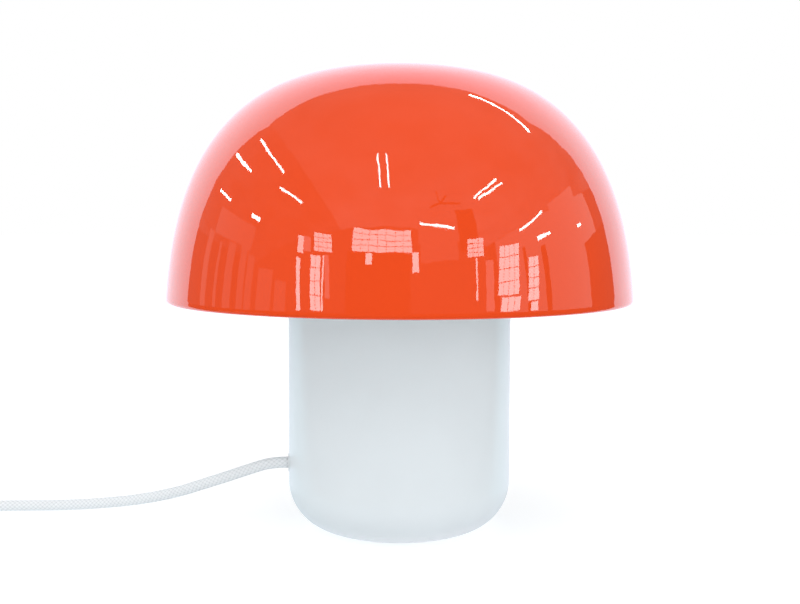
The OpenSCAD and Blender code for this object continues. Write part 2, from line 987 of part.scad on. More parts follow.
// Places of the two screws, in opposite corners
module at_switch_screws() {
    for (s = [-1, 1])
        translate([s * sw_screw_x, s * sw_screw_y, 0])
            children();
}

// The flex's way in at both ends
module switch_cord_ways() {
    translate([0, 0, sw_axis_z])
        rotate([90, 0, 0])
            cylinder(r = flex_r + fit, h = sw_l + 2 * past, center = true);
}

module switch_base() {
    color(white)
        at_switch()
            difference() {
                union() {
                    difference() {
                        switch_block(0, 0, sw_axis_z);
                        switch_block(sw_wall, sw_wall, sw_axis_z + past);
                    }
                    intersection() {
                        at_switch_screws()
                            cylinder(r = sw_post_r, h = sw_axis_z);
                        switch_block(0, 0, sw_axis_z);
                    }
                }
                switch_cord_ways();
                at_switch_screws() {
                    cylinder(r = sw_screw_r + fit, h = sw_axis_z + past);
                    translate([0, 0, -past])
                        cylinder(r = sw_head_r + fit, h = sw_head_h + past + 0.4);
                }
            }
}

module switch_cover() {
    color(white)
        at_switch()
            difference() {
                union() {
                    difference() {
                        switch_block(0, sw_axis_z, sw_h);
                        switch_block(sw_wall, sw_axis_z - past, sw_h);
                    }
                    intersection() {
                        union() {
                            at_switch_screws()
                                translate([0, 0, sw_axis_z])
                                    cylinder(r = sw_post_r, h = sw_h);
                            translate([-well_w / 2 - well_wall, -well_l / 2 - well_wall, sw_h - well_depth])
                                cube([well_w + 2 * well_wall, well_l + 2 * well_wall, well_depth]);
                        }
                        switch_block(0, sw_axis_z, sw_h);
                    }
                }
                translate([-well_w / 2, -well_l / 2, sw_axis_z - past])
                    cube([well_w, well_l, sw_h]);
                translate([0, 0, pivot_z])
                    rotate([0, 90, 0])
                        cylinder(r = pivot_r + run, h = rocker_w + 2 * pivot_l + 2 * fit, center = true);
                switch_cord_ways();
                at_switch_screws()
                    cylinder(r = sw_screw_r + fit / 2, h = sw_h - 2 * sw_wall);
            }
}

// The rocker about its pivot: a drum with a shallow V on top, tilted to its off side
module switch_rocker() {
    drum_r = rocker_l / 2;
    rise = 2.2;
    depth = 4.2;
    color(iron)
        at_switch()
            translate([0, 0, pivot_z])
                rotate([-rocker_tilt, 0, 0]) {
                    rotate([90, 0, 90])
                        linear_extrude(rocker_w, center = true)
                            intersection() {
                                circle(drum_r);
                                polygon([[-drum_r, -depth], [drum_r, -depth],
                                    [drum_r, rise + drum_r * tan(rocker_tilt)], [0, rise],
                                    [-drum_r, rise + drum_r * tan(rocker_tilt)]]);
                            }
                    rotate([0, 90, 0])
                        cylinder(r = pivot_r, h = rocker_w + 2 * pivot_l, center = true);
                }
}

module switch_screws() {
    length = sw_h - 2 * sw_wall - sw_head_h - 1.4;
    color(steel)
        at_switch()
            at_switch_screws()
                translate([0, 0, 0.4]) {
                    difference() {
                        cylinder(r = sw_head_r, h = sw_head_h);
                        cube([sw_head_r * 1.2, screw_slot, sw_head_h], center = true);
                        cube([screw_slot, sw_head_r * 1.2, sw_head_h], center = true);
                    }
                    translate([0, 0, sw_head_h])
                        cylinder(r = sw_screw_r, h = length);
                }
}

// Two terminal blades on the floor, with their clamp blocks
module switch_contacts() {
    color(brass)
        at_switch()
            for (s = [-1, 1])
                translate([3, s * 9, sw_wall]) {
                    translate([-2.5, -3.5, 0])
                        cube([5, 7, 5]);
                    translate([-1.5, -1, 5])
                        cube([3, 2, 2.5]);
                }
}

// The sheath's ends inside the shells, the cut live core and the neutral core that runs through
module switch_cores() {
    sheath_l = 6;
    end_y = sw_l / 2;
    color(cord_white)
        at_switch() {
            for (s = [-1, 1]) {
                translate([0, s * (end_y - sheath_l / 2), sw_axis_z])
                    rotate([90, 0, 0])
                        cylinder(r = flex_r, h = sheath_l, center = true);
                tube([[1.4, s * (end_y - sheath_l), sw_axis_z],
                    [1.4, s * (end_y - sheath_l - 1.5), sw_axis_z], [2, s * 21.5, sw_axis_z - 1.6],
                    [2.7, s * 17.5, 5], [3, s * 14.5, 4.3], [3, s * 12.5, 4.3]],
                    wire_r, core_sides, [0, 0, 1]);
            }
            tube([[-1.4, end_y - sheath_l, sw_axis_z], [-1.4, end_y - sheath_l - 1.5, sw_axis_z],
                [-2.6, 21.5, sw_axis_z - 1.6], [-5, 16, 4.6], [-5.5, 8, 4], [-5.5, -8, 4],
                [-5, -16, 4.6], [-2.6, -21.5, sw_axis_z - 1.6],
                [-1.4, sheath_l + 1.5 - end_y, sw_axis_z], [-1.4, sheath_l - end_y, sw_axis_z]],
                wire_r, core_sides, [0, 0, 1]);
        }
}

// One slice of the plug's grip: a flat bar with round ends, thin along the plug's axis
module plug_slice(y, w, t) {
    translate([0, y, 0])
        rotate([90, 0, 0])
            linear_extrude(0.5)
                hull()
                    for (s = [-1, 1])
                        translate([s * (w - t) / 2, 0])
                            circle(d = t, $fn = 32);
}

// Puts the plug's own frame, with its face at y = 0, where the plug lies
module at_plug() {
    translate([plug_x, plug_face_y, plug_z])
        children();
}

module plug_body() {
    boot_r = flex_r + 1.8;
    ribs = 6;
    rib_step = boot_l / ribs;
    color(white)
        difference() {
            union() {
                at_plug()
                    hull() {
                        plug_slice(0, plug_w, plug_t);
                        plug_slice(-plug_l * 0.42, plug_w * 0.93, plug_t);
                        plug_slice(-plug_l * 0.75, plug_w * 0.62, plug_t * 0.96);
                        plug_slice(0.5 - plug_l, plug_t * 0.95, plug_t * 0.85);
                    }
                translate([plug_x, plug_face_y - plug_l, boot_z])
                    rotate([90, 0, 0]) {
                        translate([0, 0, -3])
                            cylinder(r1 = boot_r, r2 = flex_r + 0.9, h = boot_l + 3);
                        for (i = [0 : ribs - 1])
                            translate([0, 0, i * rib_step])
                                cylinder(r = boot_r + 1 - i * 0.25, h = rib_step * 0.55);
                    }
            }
            at_pins()
                translate([0, 0, -pin_root])
                    cylinder(r = pin_neck_r + fit / 2, h = pin_root + past);
        }
}

// Axes of the two pins, outward from the plug's face
module at_pins() {
    at_plug()
        for (s = [-1, 1])
            translate([s * pin_gap / 2, 0, 0])
                rotate([-90, 0, 0])
                    children();
}

module plug_pins() {
    round = 1;
    color(steel)
        at_pins() {
            translate([0, 0, -pin_root])
                cylinder(r = pin_neck_r, h = pin_root + sleeve_l);
            translate([0, 0, sleeve_l])
                cylinder(r = pin_r, h = pin_l - sleeve_l - round);
            translate([0, 0, pin_l - round])
                cylinder(r1 = pin_r, r2 = pin_r - round * 0.7, h = round);
        }
}

module plug_pin_sleeves() {
    color(iron)
        at_pins()
            difference() {
                cylinder(r = sleeve_r, h = sleeve_l);
                translate([0, 0, -past])
                    cylinder(r = pin_neck_r + fit / 2, h = sleeve_l + 2 * past);
            }
}

shade_shell();
shade_seat_ring();
carrier_hub();
carrier_arms();
carrier_rivets();
carrier_pads();
body_shell();
top_plate();
top_plate_screws();
ballast();
ballast_bolt();
ballast_washer();
ballast_nut();
base_pad();
nipple();
nipple_washer();
nipple_nut();
holder_cap();
holder_insert();
holder_skirt();
holder_lock_screw();
lower_ring_nut();
upper_ring_nut();
centre_contact();
side_contact();
terminal_screws();
live_wire();
neutral_wire();
bulb_globe();
bulb_cap();
bulb_insulator();
bulb_tip();
cord_bush();
cord_grip_base();
cord_grip_bar();
cord_grip_screws();
inner_flex();
lamp_flex();
switch_base();
switch_cover();
switch_rocker();
switch_screws();
switch_contacts();
switch_cores();
lead_flex();
flex_coil();
tail_flex();
plug_body();
plug_pins();
plug_pin_sleeves();
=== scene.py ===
"""The mushroom table lamp: its camera, cords, finishes, dressed pieces, studio and light.

Sizes are written in millimetres and turned into metres where a mesh is made. The studio is in metres.
"""

import bmesh
import bpy
import math
from mathutils import Matrix, Quaternion, Vector


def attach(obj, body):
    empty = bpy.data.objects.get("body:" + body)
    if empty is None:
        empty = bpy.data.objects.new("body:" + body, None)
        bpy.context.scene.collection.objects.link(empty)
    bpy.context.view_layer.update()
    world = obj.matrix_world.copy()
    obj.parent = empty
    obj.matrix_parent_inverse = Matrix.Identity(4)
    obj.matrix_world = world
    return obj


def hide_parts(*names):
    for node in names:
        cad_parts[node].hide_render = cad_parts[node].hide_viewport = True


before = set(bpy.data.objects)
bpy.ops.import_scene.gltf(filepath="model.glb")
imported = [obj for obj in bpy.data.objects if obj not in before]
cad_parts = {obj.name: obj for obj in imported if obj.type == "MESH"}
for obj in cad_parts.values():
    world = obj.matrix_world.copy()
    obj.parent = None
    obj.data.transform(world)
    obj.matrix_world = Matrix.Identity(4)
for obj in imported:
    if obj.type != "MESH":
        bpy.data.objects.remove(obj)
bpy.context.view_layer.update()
MM = 0.001
TURN = 2 * math.pi

# Sizes that the CAD source holds, in millimetres
SHADE_R = 125.0
RIM_Z = 124.5
LAMP_H = 250.0
DOME_POWER = 2.7
EQUATOR_Z = 90.5
SHADE_WALL = 0.8
RIM_BEAD = 2.2
SEAT_Z = 190.0
SEAT_W = 13.0
SEAT_H = 9.0
SEAT_T = 1.2
BODY_R = 60.0
FOOT_ROUND = 26.5
BODY_TOP = 137.0
BODY_WALL = 1.0
DISH_R = 14.0
DISH_H = 6.0
PAD_T = 1.0
PAD_W = 14.0
SKIRT_Z = 149.2
SKIRT_TOP = 180.2
HOLDER_R = 14.0
INSERT_R = 12.0
INSERT_TOP = 154.2
MOUTH_R = 9.85
CAP_R = 6.95
COLLAR_R = 8.65
TIP_Z = 155.4
GLOBE_R = 22.5
GLOBE_Z = 210.9
FLEX_D = 6.2
EXIT_Z = 37.0
BUSH_LIP = 0.8
BUSH_HOLE_R = 4.3
SWITCH = (-268.0, -33.0)
SW_L = 66.0
SW_W = 28.0
SW_H = 18.5
SW_WALL = 1.8
SW_AXIS_Z = 8.5
PIVOT_Z = 15.9
PLUG = (-363.0, -6.0, 6.85)
PLUG_W = 35.3
PLUG_T = 13.7
PLUG_L = 34.0
BOOT_L = 22.0
BOOT_Z = 7.0
PIN_GAP = 18.6
PIN_R = 2.0
PIN_L = 19.0
SLEEVE_L = 10.0
SLEEVE_R = 1.8
COIL_CENTRE = (-315.5, -118.0)
COIL_R = 47.5
COIL_PITCH = 6.7
COIL_TURNS = 6.5
COIL_CLIMB = 0.5

# Routes of the flex, as in the CAD source
WALL_OUT = -BODY_R - BUSH_LIP
COIL_START_Y = COIL_CENTRE[1] + FLEX_D
INNER_ROUTE = [(WALL_OUT, 0, 37), (-52, 0, 37), (-34, 0, 37), (-26, 0, 38.3), (-17, 0, 42.5),
               (-9, 0, 49.5), (-3.4, 0, 58.5), (-0.7, 0, 69), (0, 0, 81), (0, 0, 94.25),
               (0, 0, 107.5), (0, 0, 120.75), (0, 0, 134)]
LAMP_ROUTE = [(WALL_OUT, 0, 37), (-64.8, 0, 37), (-72, 1.1, 36), (-80, 3.9, 33.2), (-93, 8.8, 28.1),
              (-106.5, 15.2, 22.7), (-120, 22.4, 17.3), (-134, 30, 12.8), (-148, 37.6, 9.2),
              (-162, 44.6, 6.5), (-176, 50, 4.6), (-190, 53.8, 3.5), (-206, 56, 3.1),
              (-222, 56.8, 3.1), (-236, 56.4, 3.1), (-249, 52.9, 3.1), (-259.5, 44.6, 3.6),
              (-266, 33, 4.9), (-268, 21, 6.7), (-268, 13, 7.9), (-268, 6, 8.5), (-268, 0, 8.5)]
LEAD_ROUTE = [(-268, -66, 8.5), (-268, -72, 8.5), (-268, -80, 7.9), (-268, -90, 6),
              (-268, -99, 4), (-268, COIL_START_Y + 6, 3.1), (-268, COIL_START_Y, 3.1)]
TAIL_ROUTE = [(-363, COIL_START_Y, 9.8), (-363, COIL_START_Y + 6, 9.8), (-363, -98, 9.3),
              (-363, -88, 8.2), (-363, -78, 7.3), (-363, -68, 7), (-363, -62, 7)]

# Camera, at the photograph's angle: it looks at the middle of the rim
CAM_AZIMUTH = math.radians(-6)
CAM_ELEVATION = math.radians(4.0)
CAM_ROLL = math.radians(0.16)
CAM_DISTANCE = 0.660
CAM_TARGET = Vector((0, 0, 0.125))
offset = Vector((math.sin(CAM_AZIMUTH) * math.cos(CAM_ELEVATION),
                 -math.cos(CAM_AZIMUTH) * math.cos(CAM_ELEVATION),
                 math.sin(CAM_ELEVATION)))
camera_data = bpy.data.cameras.new("camera")
camera_data.sensor_width = 36.0
camera_data.lens = 54.80
camera_data.shift_x = 0.0006
camera_data.shift_y = -0.003
camera_data.clip_start = 0.01
camera = bpy.data.objects.new("camera", camera_data)
camera.location = CAM_TARGET + offset * CAM_DISTANCE
camera.rotation_euler = ((-offset).to_track_quat("-Z", "Y") @ Quaternion((0, 0, 1), CAM_ROLL)).to_euler()
bpy.context.scene.collection.objects.link(camera)
bpy.context.scene.camera = camera


# Curves and outlines
def metres(point):
    return tuple(c * MM for c in point)


def hermite(t, start, leave, end, arrive):
    """A smooth step from start to end as t goes from 0 to 1, with its slopes at both."""
    return (start * (2 * t ** 3 - 3 * t ** 2 + 1) + leave * (t ** 3 - 2 * t ** 2 + t)
            + end * (3 * t ** 2 - 2 * t ** 3) + arrive * (t ** 3 - t ** 2))


def ramp(value, low, high):
    """0 below low, 1 above high, and even between them."""
    return min(max((value - low) / (high - low), 0), 1)


def lengths_along(points):
    """The length from the first point to each."""
    found = [0.0]
    for a, b in zip(points, points[1:]):
        found.append(found[-1] + (b - a).length)
    return found


def smooth_path(points, step):
    """Points about step apart on a smooth curve through the given ones."""
    p = [Vector(q) for q in points]
    p = [p[0] * 2 - p[1]] + p + [p[-1] * 2 - p[-2]]
    found = []
    for i in range(1, len(p) - 2):
        a, b, c, d = p[i - 1:i + 3]
        ta, tb, tc = (max((v - u).length, 1e-6) ** 0.5 for u, v in ((a, b), (b, c), (c, d)))
        leave = ((b - a) / ta - (c - a) / (ta + tb) + (c - b) / tb) * tb
        arrive = ((c - b) / tb - (d - b) / (tb + tc) + (d - c) / tc) * tb
        count = max(1, round((c - b).length / step))
        found += [hermite(k / count, b, leave, c, arrive) for k in range(count)]
    return found + [p[-2]]


def coil_point(t):
    """The coil's centreline: it winds in below and out above, and climbs where it turns back."""
    half = COIL_TURNS / 2
    r = COIL_R - COIL_PITCH * (half - abs(t - half))
    climb = ramp(t, half - COIL_CLIMB / 2, half + COIL_CLIMB / 2)
    z = FLEX_D / 2 + COIL_PITCH * climb * climb * (3 - 2 * climb)
    a = TURN * t
    return Vector((COIL_CENTRE[0] + r * math.cos(a), COIL_CENTRE[1] - r * math.sin(a), z))


def evenly(fine, count):
    """Points evenly spaced along a line of close points, both of its ends among them."""
    lengths = lengths_along(fine)
    found = []
    i = 0
    for k in range(count + 1):
        want = lengths[-1] * k / count
        while i < len(fine) - 2 and lengths[i + 1] < want:
            i += 1
        share = (want - lengths[i]) / max(lengths[i + 1] - lengths[i], 1e-9)
        found.append(fine[i].lerp(fine[i + 1], share))
    return found


def rounded(points, steps=6):
    """A polyline with each corner turned into an arc. A point is (x, y, corner radius)."""
    found = []
    for i, (x, y, r) in enumerate(points):
        here = Vector((x, y))
        if r <= 0 or i in (0, len(points) - 1):
            found.append((x, y))
            continue
        before = (Vector(points[i - 1][:2]) - here).normalized()
        after = (Vector(points[i + 1][:2]) - here).normalized()
        half = math.acos(max(-1, min(1, before.dot(after)))) / 2
        reach = r / math.tan(half)
        centre = here + (before + after).normalized() * (r / math.sin(half))
        start = here + before * reach - centre
        end = here + after * reach - centre
        turn = math.atan2(start.x * end.y - start.y * end.x, start.dot(end))
        for k in range(steps + 1):
            c, s = math.cos(turn * k / steps), math.sin(turn * k / steps)
            found.append((centre.x + start.x * c - start.y * s, centre.y + start.x * s + start.y * c))
    return found


def filled(points, step):
    """The same polyline with more points, so that no two are more than step apart."""
    found = [points[0]]
    for a, b in zip(points, points[1:]):
        count = max(1, math.ceil(math.hypot(b[0] - a[0], b[1] - a[1]) / step))
        found += [(a[0] + (b[0] - a[0]) * k / count, a[1] + (b[1] - a[1]) * k / count)
                  for k in range(1, count + 1)]
    return found


def quarter(count, first=0):
    """How far in and how far down each step of a quarter round lies, as shares of its radius."""
    angles = [math.radians(90 * i / count) for i in range(first, count + 1)]
    return [(1 - math.cos(a), 1 - math.sin(a)) for a in angles]


# Meshes
SAME_PLACE = 0.001 * MM


def mesh_piece(name, verts, faces, materials, slots=None, uvs=None, smooth=True):
    """A mesh object from points in millimetres. slots gives each face's material number."""
    mesh = bpy.data.meshes.new(name)
    mesh.from_pydata([metres(v) for v in verts], [], faces)
    for m in materials:
        mesh.materials.append(m)
    if slots:
        mesh.polygons.foreach_set("material_index", slots)
    if uvs:
        layer = mesh.uv_layers.new(name="Along")
        layer.data.foreach_set("uv", [c for face in faces for v in face for c in uvs(face, v)])
    if smooth:
        mesh.polygons.foreach_set("use_smooth", [True] * len(mesh.polygons))
    mesh.update()
    piece = bpy.data.objects.new(name, mesh)
    bpy.context.scene.collection.objects.link(piece)
    return piece


def ring_faces(rings, sides, loop=False):
    """Faces that join each ring to the next. loop joins the last ring to the first."""
    steps = [(k, (k + 1) % sides) for k in range(sides)]
    pairs = [(j * sides, (j + 1) % rings * sides) for j in range(rings if loop else rings - 1)]
    return [(j + k, j + n, i + n, i + k) for j, i in pairs for k, n in steps]


def end_faces(rings, sides):
    """Faces that close the first and the last ring."""
    return [tuple(reversed(range(sides))), tuple(range((rings - 1) * sides, rings * sides))]


def tube_piece(name, path, sides, radius, material):
    """A closed tube whose rings don't twist. radius takes the side and the length so far.

    In its UV map u is the length in millimetres, and v goes once round.
    """
    n = len(path)
    lengths = lengths_along(path)
    heads = [(path[min(i + 1, n - 1)] - path[max(i - 1, 0)]).normalized() for i in range(n)]
    side = heads[0].cross(Vector((0, 0, 1)))
    if side.length < 1e-3:
        side = heads[0].cross(Vector((0, 1, 0)))
    side.normalize()
    verts = []
    for i, (point, head) in enumerate(zip(path, heads)):
        if i:
            side = (side - head * side.dot(head)).normalized()
        other = head.cross(side)
        for k in range(sides):
            a = TURN * k / sides
            r = radius(k, lengths[i])
            verts.append(point + side * (r * math.cos(a)) + other * (r * math.sin(a)))
    ends = [len(verts), len(verts) + 1]
    verts += [path[0], path[-1]]
    last = (n - 1) * sides
    faces = ring_faces(n, sides)
    faces += [(ends[0], (k + 1) % sides, k) for k in range(sides)]
    faces += [(ends[1], last + k, last + (k + 1) % sides) for k in range(sides)]

    def uvs(face, v):
        if v >= ends[0]:
            return (0.0 if v == ends[0] else lengths[-1], 0.5)
        i, k = divmod(v, sides)
        wraps = k == 0 and any(w < ends[0] and w % sides == sides - 1 for w in face)
        return (lengths[i], 1.0 if wraps else k / sides)

    return mesh_piece(name, verts, faces, [material], uvs=uvs)


def lathe(name, profile, steps, materials, slot_of=None, closed=True, shift=None):
    """Turns a profile of (radius, height) points round z. A point at radius 0 becomes one vertex.

    shift moves a point outward and up. It takes the row, the angle, the radius and the height.
    """
    verts = []
    rows = []
    for j, (r, z) in enumerate(profile):
        if r < 1e-6:
            rows.append([len(verts)] * steps)
            verts.append((0.0, 0.0, z))
            continue
        rows.append(list(range(len(verts), len(verts) + steps)))
        for k in range(steps):
            a = TURN * k / steps
            dr, dz = shift(j, a, r, z) if shift else (0.0, 0.0)
            verts.append(((r + dr) * math.cos(a), (r + dr) * math.sin(a), z + dz))
    pairs = [(j, j + 1) for j in range(len(rows) - 1)] + ([(len(rows) - 1, 0)] if closed else [])
    faces = []
    slots = []
    for j, i in pairs:
        for k in range(steps):
            n = (k + 1) % steps
            face = tuple(dict.fromkeys((rows[j][k], rows[j][n], rows[i][n], rows[i][k])))
            if len(face) > 2:
                faces.append(face)
                slots.append(slot_of(j) if slot_of else 0)
    return mesh_piece(name, verts, faces, materials, slots)


def rod(name, axis, at, radius, length):
    """A cutter: a cylinder in millimetres, which starts at a point and runs along x, y or z."""
    sides = 64
    verts = []
    for h in (0.0, length):
        for k in range(sides):
            c, s = radius * math.cos(TURN * k / sides), radius * math.sin(TURN * k / sides)
            shift = {"x": (h, c, s), "y": (s, h, c), "z": (c, s, h)}[axis]
            verts.append(tuple(p + q for p, q in zip(at, shift)))
    return mesh_piece(name, verts, end_faces(2, sides) + ring_faces(2, sides), [], smooth=False)


def rework(piece, change):
    """Runs change on the bmesh of a piece."""
    work = bmesh.new()
    work.from_mesh(piece.data)
    change(work)
    work.to_mesh(piece.data)
    work.free()
    piece.data.update()


def face_out(piece):
    """Turns all of a closed piece's faces outward."""
    rework(piece, lambda work: bmesh.ops.recalc_face_normals(work, faces=work.faces))


def mark_sharp(piece, angle):
    """Shades a piece smooth, with edges sharper than angle left sharp."""
    def change(work):
        bmesh.ops.remove_doubles(work, verts=work.verts, dist=SAME_PLACE)
        for face in work.faces:
            face.smooth = True
        for edge in work.edges:
            edge.smooth = len(edge.link_faces) < 2 or edge.calc_face_angle(0) < math.radians(angle)
    rework(piece, change)


def combine(piece, tools, operation="DIFFERENCE", angle=35):
    """Cuts tools out of a piece, or adds them, and keeps edges sharper than angle sharp."""
    face_out(piece)
    for tool in tools:
        face_out(tool)
        change = piece.modifiers.new("change", "BOOLEAN")
        change.operation = operation
        change.solver = "MANIFOLD"
        change.object = tool
    bpy.context.view_layer.update()
    graph = bpy.context.evaluated_depsgraph_get()
    done = bpy.data.meshes.new_from_object(piece.evaluated_get(graph))
    piece.modifiers.clear()
    piece.data = done
    for tool in tools:
        bpy.data.objects.remove(tool)
    mark_sharp(piece, angle)


def wear(piece, body, node):
    """Puts a piece on its body, in its node's stead."""
    face_out(piece)
    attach(piece, body)
    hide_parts(node)


# Node trees
NOISE_LOW = 0.3
NOISE_HIGH = 0.7


class Tree:
    """Writes a node tree briefly. An input is a value or another node's output."""

    def __init__(self, owner):
        owner.use_nodes = True
        self.owner = owner
        self.tree = owner.node_tree
        self.tree.nodes.clear()

    def give(self, socket, value):
        if isinstance(value, bpy.types.NodeSocket):
            self.tree.links.new(value, socket)
        else:
            socket.default_value = value

    def node(self, kind, inputs=None, **properties):
        made = self.tree.nodes.new("ShaderNode" + kind)
        for key, value in properties.items():
            setattr(made, key, value)
        for key, value in (inputs or {}).items():
            self.give(made.inputs[key], value)
        return made

    def first(self, kind, inputs=None, **properties):
        """The first output of a new node."""
        return self.node(kind, inputs, **properties).outputs[0]

    def maths(self, operation, *values, clamp=False):
        return self.first("Math", dict(enumerate(values)), operation=operation, use_clamp=clamp)

    def times(self, a, b):
        return self.maths("MULTIPLY", a, b)

    def less(self, a, b):
        """a minus b."""
        return self.maths("SUBTRACT", a, b)

    def most(self, a, b):
        return self.maths("MAXIMUM", a, b)

    def place(self):
        """Object coordinates, which are the row frame in metres."""
        return self.node("TexCoord").outputs["Object"]

    def axes(self):
        """The outputs X, Y and Z of the place."""
        return self.node("SeparateXYZ", {"Vector": self.place()}).outputs

    def stretched(self, upward):
        """The place, with its height scaled."""
        return self.first("Mapping", {"Vector": self.place(), "Scale": (1.0, 1.0, upward)})

    def noise(self, scale, detail=2.0, roughness=0.5, vector=None, distortion=0.0):
        return self.node("TexNoise", {
            "Vector": vector or self.place(), "Scale": scale, "Detail": detail,
            "Roughness": roughness, "Distortion": distortion}).outputs["Fac"]

    def spread(self, value, new_low=0.0, new_high=1.0, low=NOISE_LOW, high=NOISE_HIGH):
        """A value from low to high as one from new_low to new_high."""
        return self.first("MapRange", {"Value": value, "From Min": low, "From Max": high,
                                       "To Min": new_low, "To Max": new_high})

    def blend(self, factor, a, b):
        made = self.node("Mix", data_type="RGBA")
        for socket, value in ((made.inputs["Factor"], factor), (made.inputs[6], a), (made.inputs[7], b)):
            self.give(socket, value)
        return made.outputs[2]

    def choose(self, factor, a, b):
        """A number: a where the factor is 0, and b where it is 1."""
        made = self.node("Mix", {"Factor": factor}, data_type="FLOAT")
        self.give(made.inputs[2], a)
        self.give(made.inputs[3], b)
        return made.outputs[0]

    def between(self, value, a, b, low=NOISE_LOW, high=NOISE_HIGH):
        """Colour a where a value is low, and b where it is high."""
        return self.blend(self.spread(value, low=low, high=high), a, b)

    def bump(self, height, strength, depth, normal=None):
        """A relief of a depth in millimetres."""
        inputs = {"Height": height, "Strength": strength, "Distance": depth * MM}
        if normal is not None:
            inputs["Normal"] = normal
        return self.first("Bump", inputs)

    def glow(self, colour, strength):
        return self.first("Emission", {"Color": colour, "Strength": strength})

    def mix_shader(self, factor, a, b):
        return self.first("MixShader", {0: factor, 1: a, 2: b})

    def finish(self, shader, kind="OutputMaterial"):
        self.node(kind, {"Surface": shader})
        return self.owner

    def surface(self, **sockets):
        """Ends the tree in a Principled shader. A socket's name is written with _ for its spaces."""
        named = {key.replace("_", " "): value for key, value in sockets.items()}
        return self.finish(self.first("BsdfPrincipled", named))


def new_tree(name):
    return Tree(bpy.data.materials.new(name))


def linear(r, g, b):
    """An sRGB colour from 0 to 255 as the linear colour that nodes take."""
    def one(c):
        c = c / 255
        return c / 12.92 if c <= 0.04045 else ((c + 0.055) / 1.055) ** 2.4
    return (one(r), one(g), one(b), 1.0)


def shaded(colour, amount):
    """A colour made darker or paler by a factor."""
    return tuple(min(c * amount, 1.0) for c in colour[:3]) + (1.0,)


# Materials
def lacquer(name, colour, waviness, coat_roughness=0.02, coat=1.0):
    """Sprayed gloss lacquer on spun metal: faint orange peel and slow waves, calmer near the rim.

    waviness is a depth in millimetres.
    """
    t = new_tree(name)
    peel = t.bump(t.noise(420.0), 0.10, 0.03)
    calm = t.spread(t.axes()["Z"], 0.4, 1.0, 0.15, 0.2)
    ripple = t.bump(t.times(t.noise(125.0, 1.0, 0.4), calm), 1.0, waviness * 0.33, peel)
    waves = t.bump(t.times(t.noise(30.0, 1.0, 0.4), calm), 1.0, waviness, ripple)
    return t.surface(
        Base_Color=t.between(t.noise(14.0, 3.0), shaded(colour, 0.975), shaded(colour, 1.02)),
        Roughness=t.spread(t.noise(2600.0), 0.30, 0.36), Specular_IOR_Level=0.0, Normal=waves,
        Coat_Weight=coat, Coat_Roughness=coat_roughness, Coat_IOR=1.5, Coat_Normal=waves)


def satin_paint(name, colour):
    """Satin baked paint with a fine stipple."""
    t = new_tree(name)
    cloud = t.noise(30.0, 3.0)
    return t.surface(
        Base_Color=t.between(cloud, shaded(colour, 0.96), colour), Roughness=t.spread(cloud, 0.42, 0.5),
        Specular_IOR_Level=0.5, Normal=t.bump(t.noise(1500.0), 0.25, 0.04))


def plated_metal(name, colour, scratch_scale, roughness, tint=None):
    """Plated or turned metal: fine scuffs, cloudy plating and uneven gloss."""
    t = new_tree(name)
    hue = t.between(t.noise(90.0, 4.0, 0.6), colour, tint or shaded(colour, 0.82), 0.35, 0.65)
    scuff = t.noise(scratch_scale, 5.0, 0.75, distortion=0.6)
    return t.surface(Base_Color=hue, Metallic=1.0, Normal=t.bump(scuff, 0.2, 0.05),
                     Roughness=t.spread(scuff, roughness * 0.75, roughness * 1.35))


def moulded_plastic(name, colour, roughness, grain=1800.0, depth=0.03):
    """Moulded plastic with the fine grain of its tool and a little unevenness."""
    t = new_tree(name)
    fine = t.noise(grain, 3.0, 0.6)
    return t.surface(
        Base_Color=t.between(t.noise(45.0, 3.0), shaded(colour, 0.965), colour),
        Roughness=t.spread(fine, roughness, roughness + 0.1), Specular_IOR_Level=0.5,
        Normal=t.bump(fine, 0.35, depth))


def cast_iron(name):
    """Blackened cast iron with a lumpy skin."""
    t = new_tree(name)
    lumps = t.noise(260.0, 6.0, 0.65)
    return t.surface(Base_Color=t.between(lumps, linear(48, 47, 48), linear(84, 80, 78)), Metallic=0.6,
                     Roughness=t.spread(lumps, 0.55, 0.8), Normal=t.bump(lumps, 0.8, 0.3))


def felt(name):
    """Pressed felt: matted fibres over a mottled ground."""
    t = new_tree(name)
    fibres = t.noise(1300.0, 6.0, 0.8, t.stretched(3.0), 2.5)
    base = t.between(t.noise(160.0, 4.0, 0.7), linear(52, 53, 56), linear(74, 75, 78))
    hue = t.blend(t.spread(fibres, 0.0, 0.6, 0.45, 0.75), base, linear(112, 113, 116))
    return t.surface(Base_Color=hue, Roughness=0.95, Specular_IOR_Level=0.2, Sheen_Weight=0.5,
                     Sheen_Roughness=0.5, Normal=t.bump(fibres, 0.9, 0.3))


def silicone(name):
    """Clear-white silicone rubber with a little dust on it."""
    t = new_tree(name)
    dust = t.noise(700.0, 4.0, 0.7)
    hue = t.between(dust, linear(214, 217, 218), linear(232, 234, 234), low=0.35)
    return t.surface(Base_Color=hue, Roughness=t.spread(dust, 0.38, 0.52), Subsurface_Weight=0.3,
                     Subsurface_Scale=2 * MM, Subsurface_Radius=(1.0, 0.9, 0.8),
                     Normal=t.bump(dust, 0.2, 0.05))


def opal_glass(name):
    """Opal-coated glass: white inside, clear gloss outside, with faint flow lines."""
    t = new_tree(name)
    flow = t.noise(60.0, 3.0, 0.5, t.stretched(0.25))
    hue = t.between(flow, linear(236, 236, 232), linear(246, 246, 243))
    return t.surface(Base_Color=hue, Roughness=t.spread(flow, 0.10, 0.16), Subsurface_Weight=0.6,
                     Subsurface_Scale=6 * MM, Subsurface_Radius=(1.0, 0.95, 0.9), Coat_Weight=0.6,
                     Coat_Roughness=0.03, Normal=t.bump(flow, 0.3, 0.05))


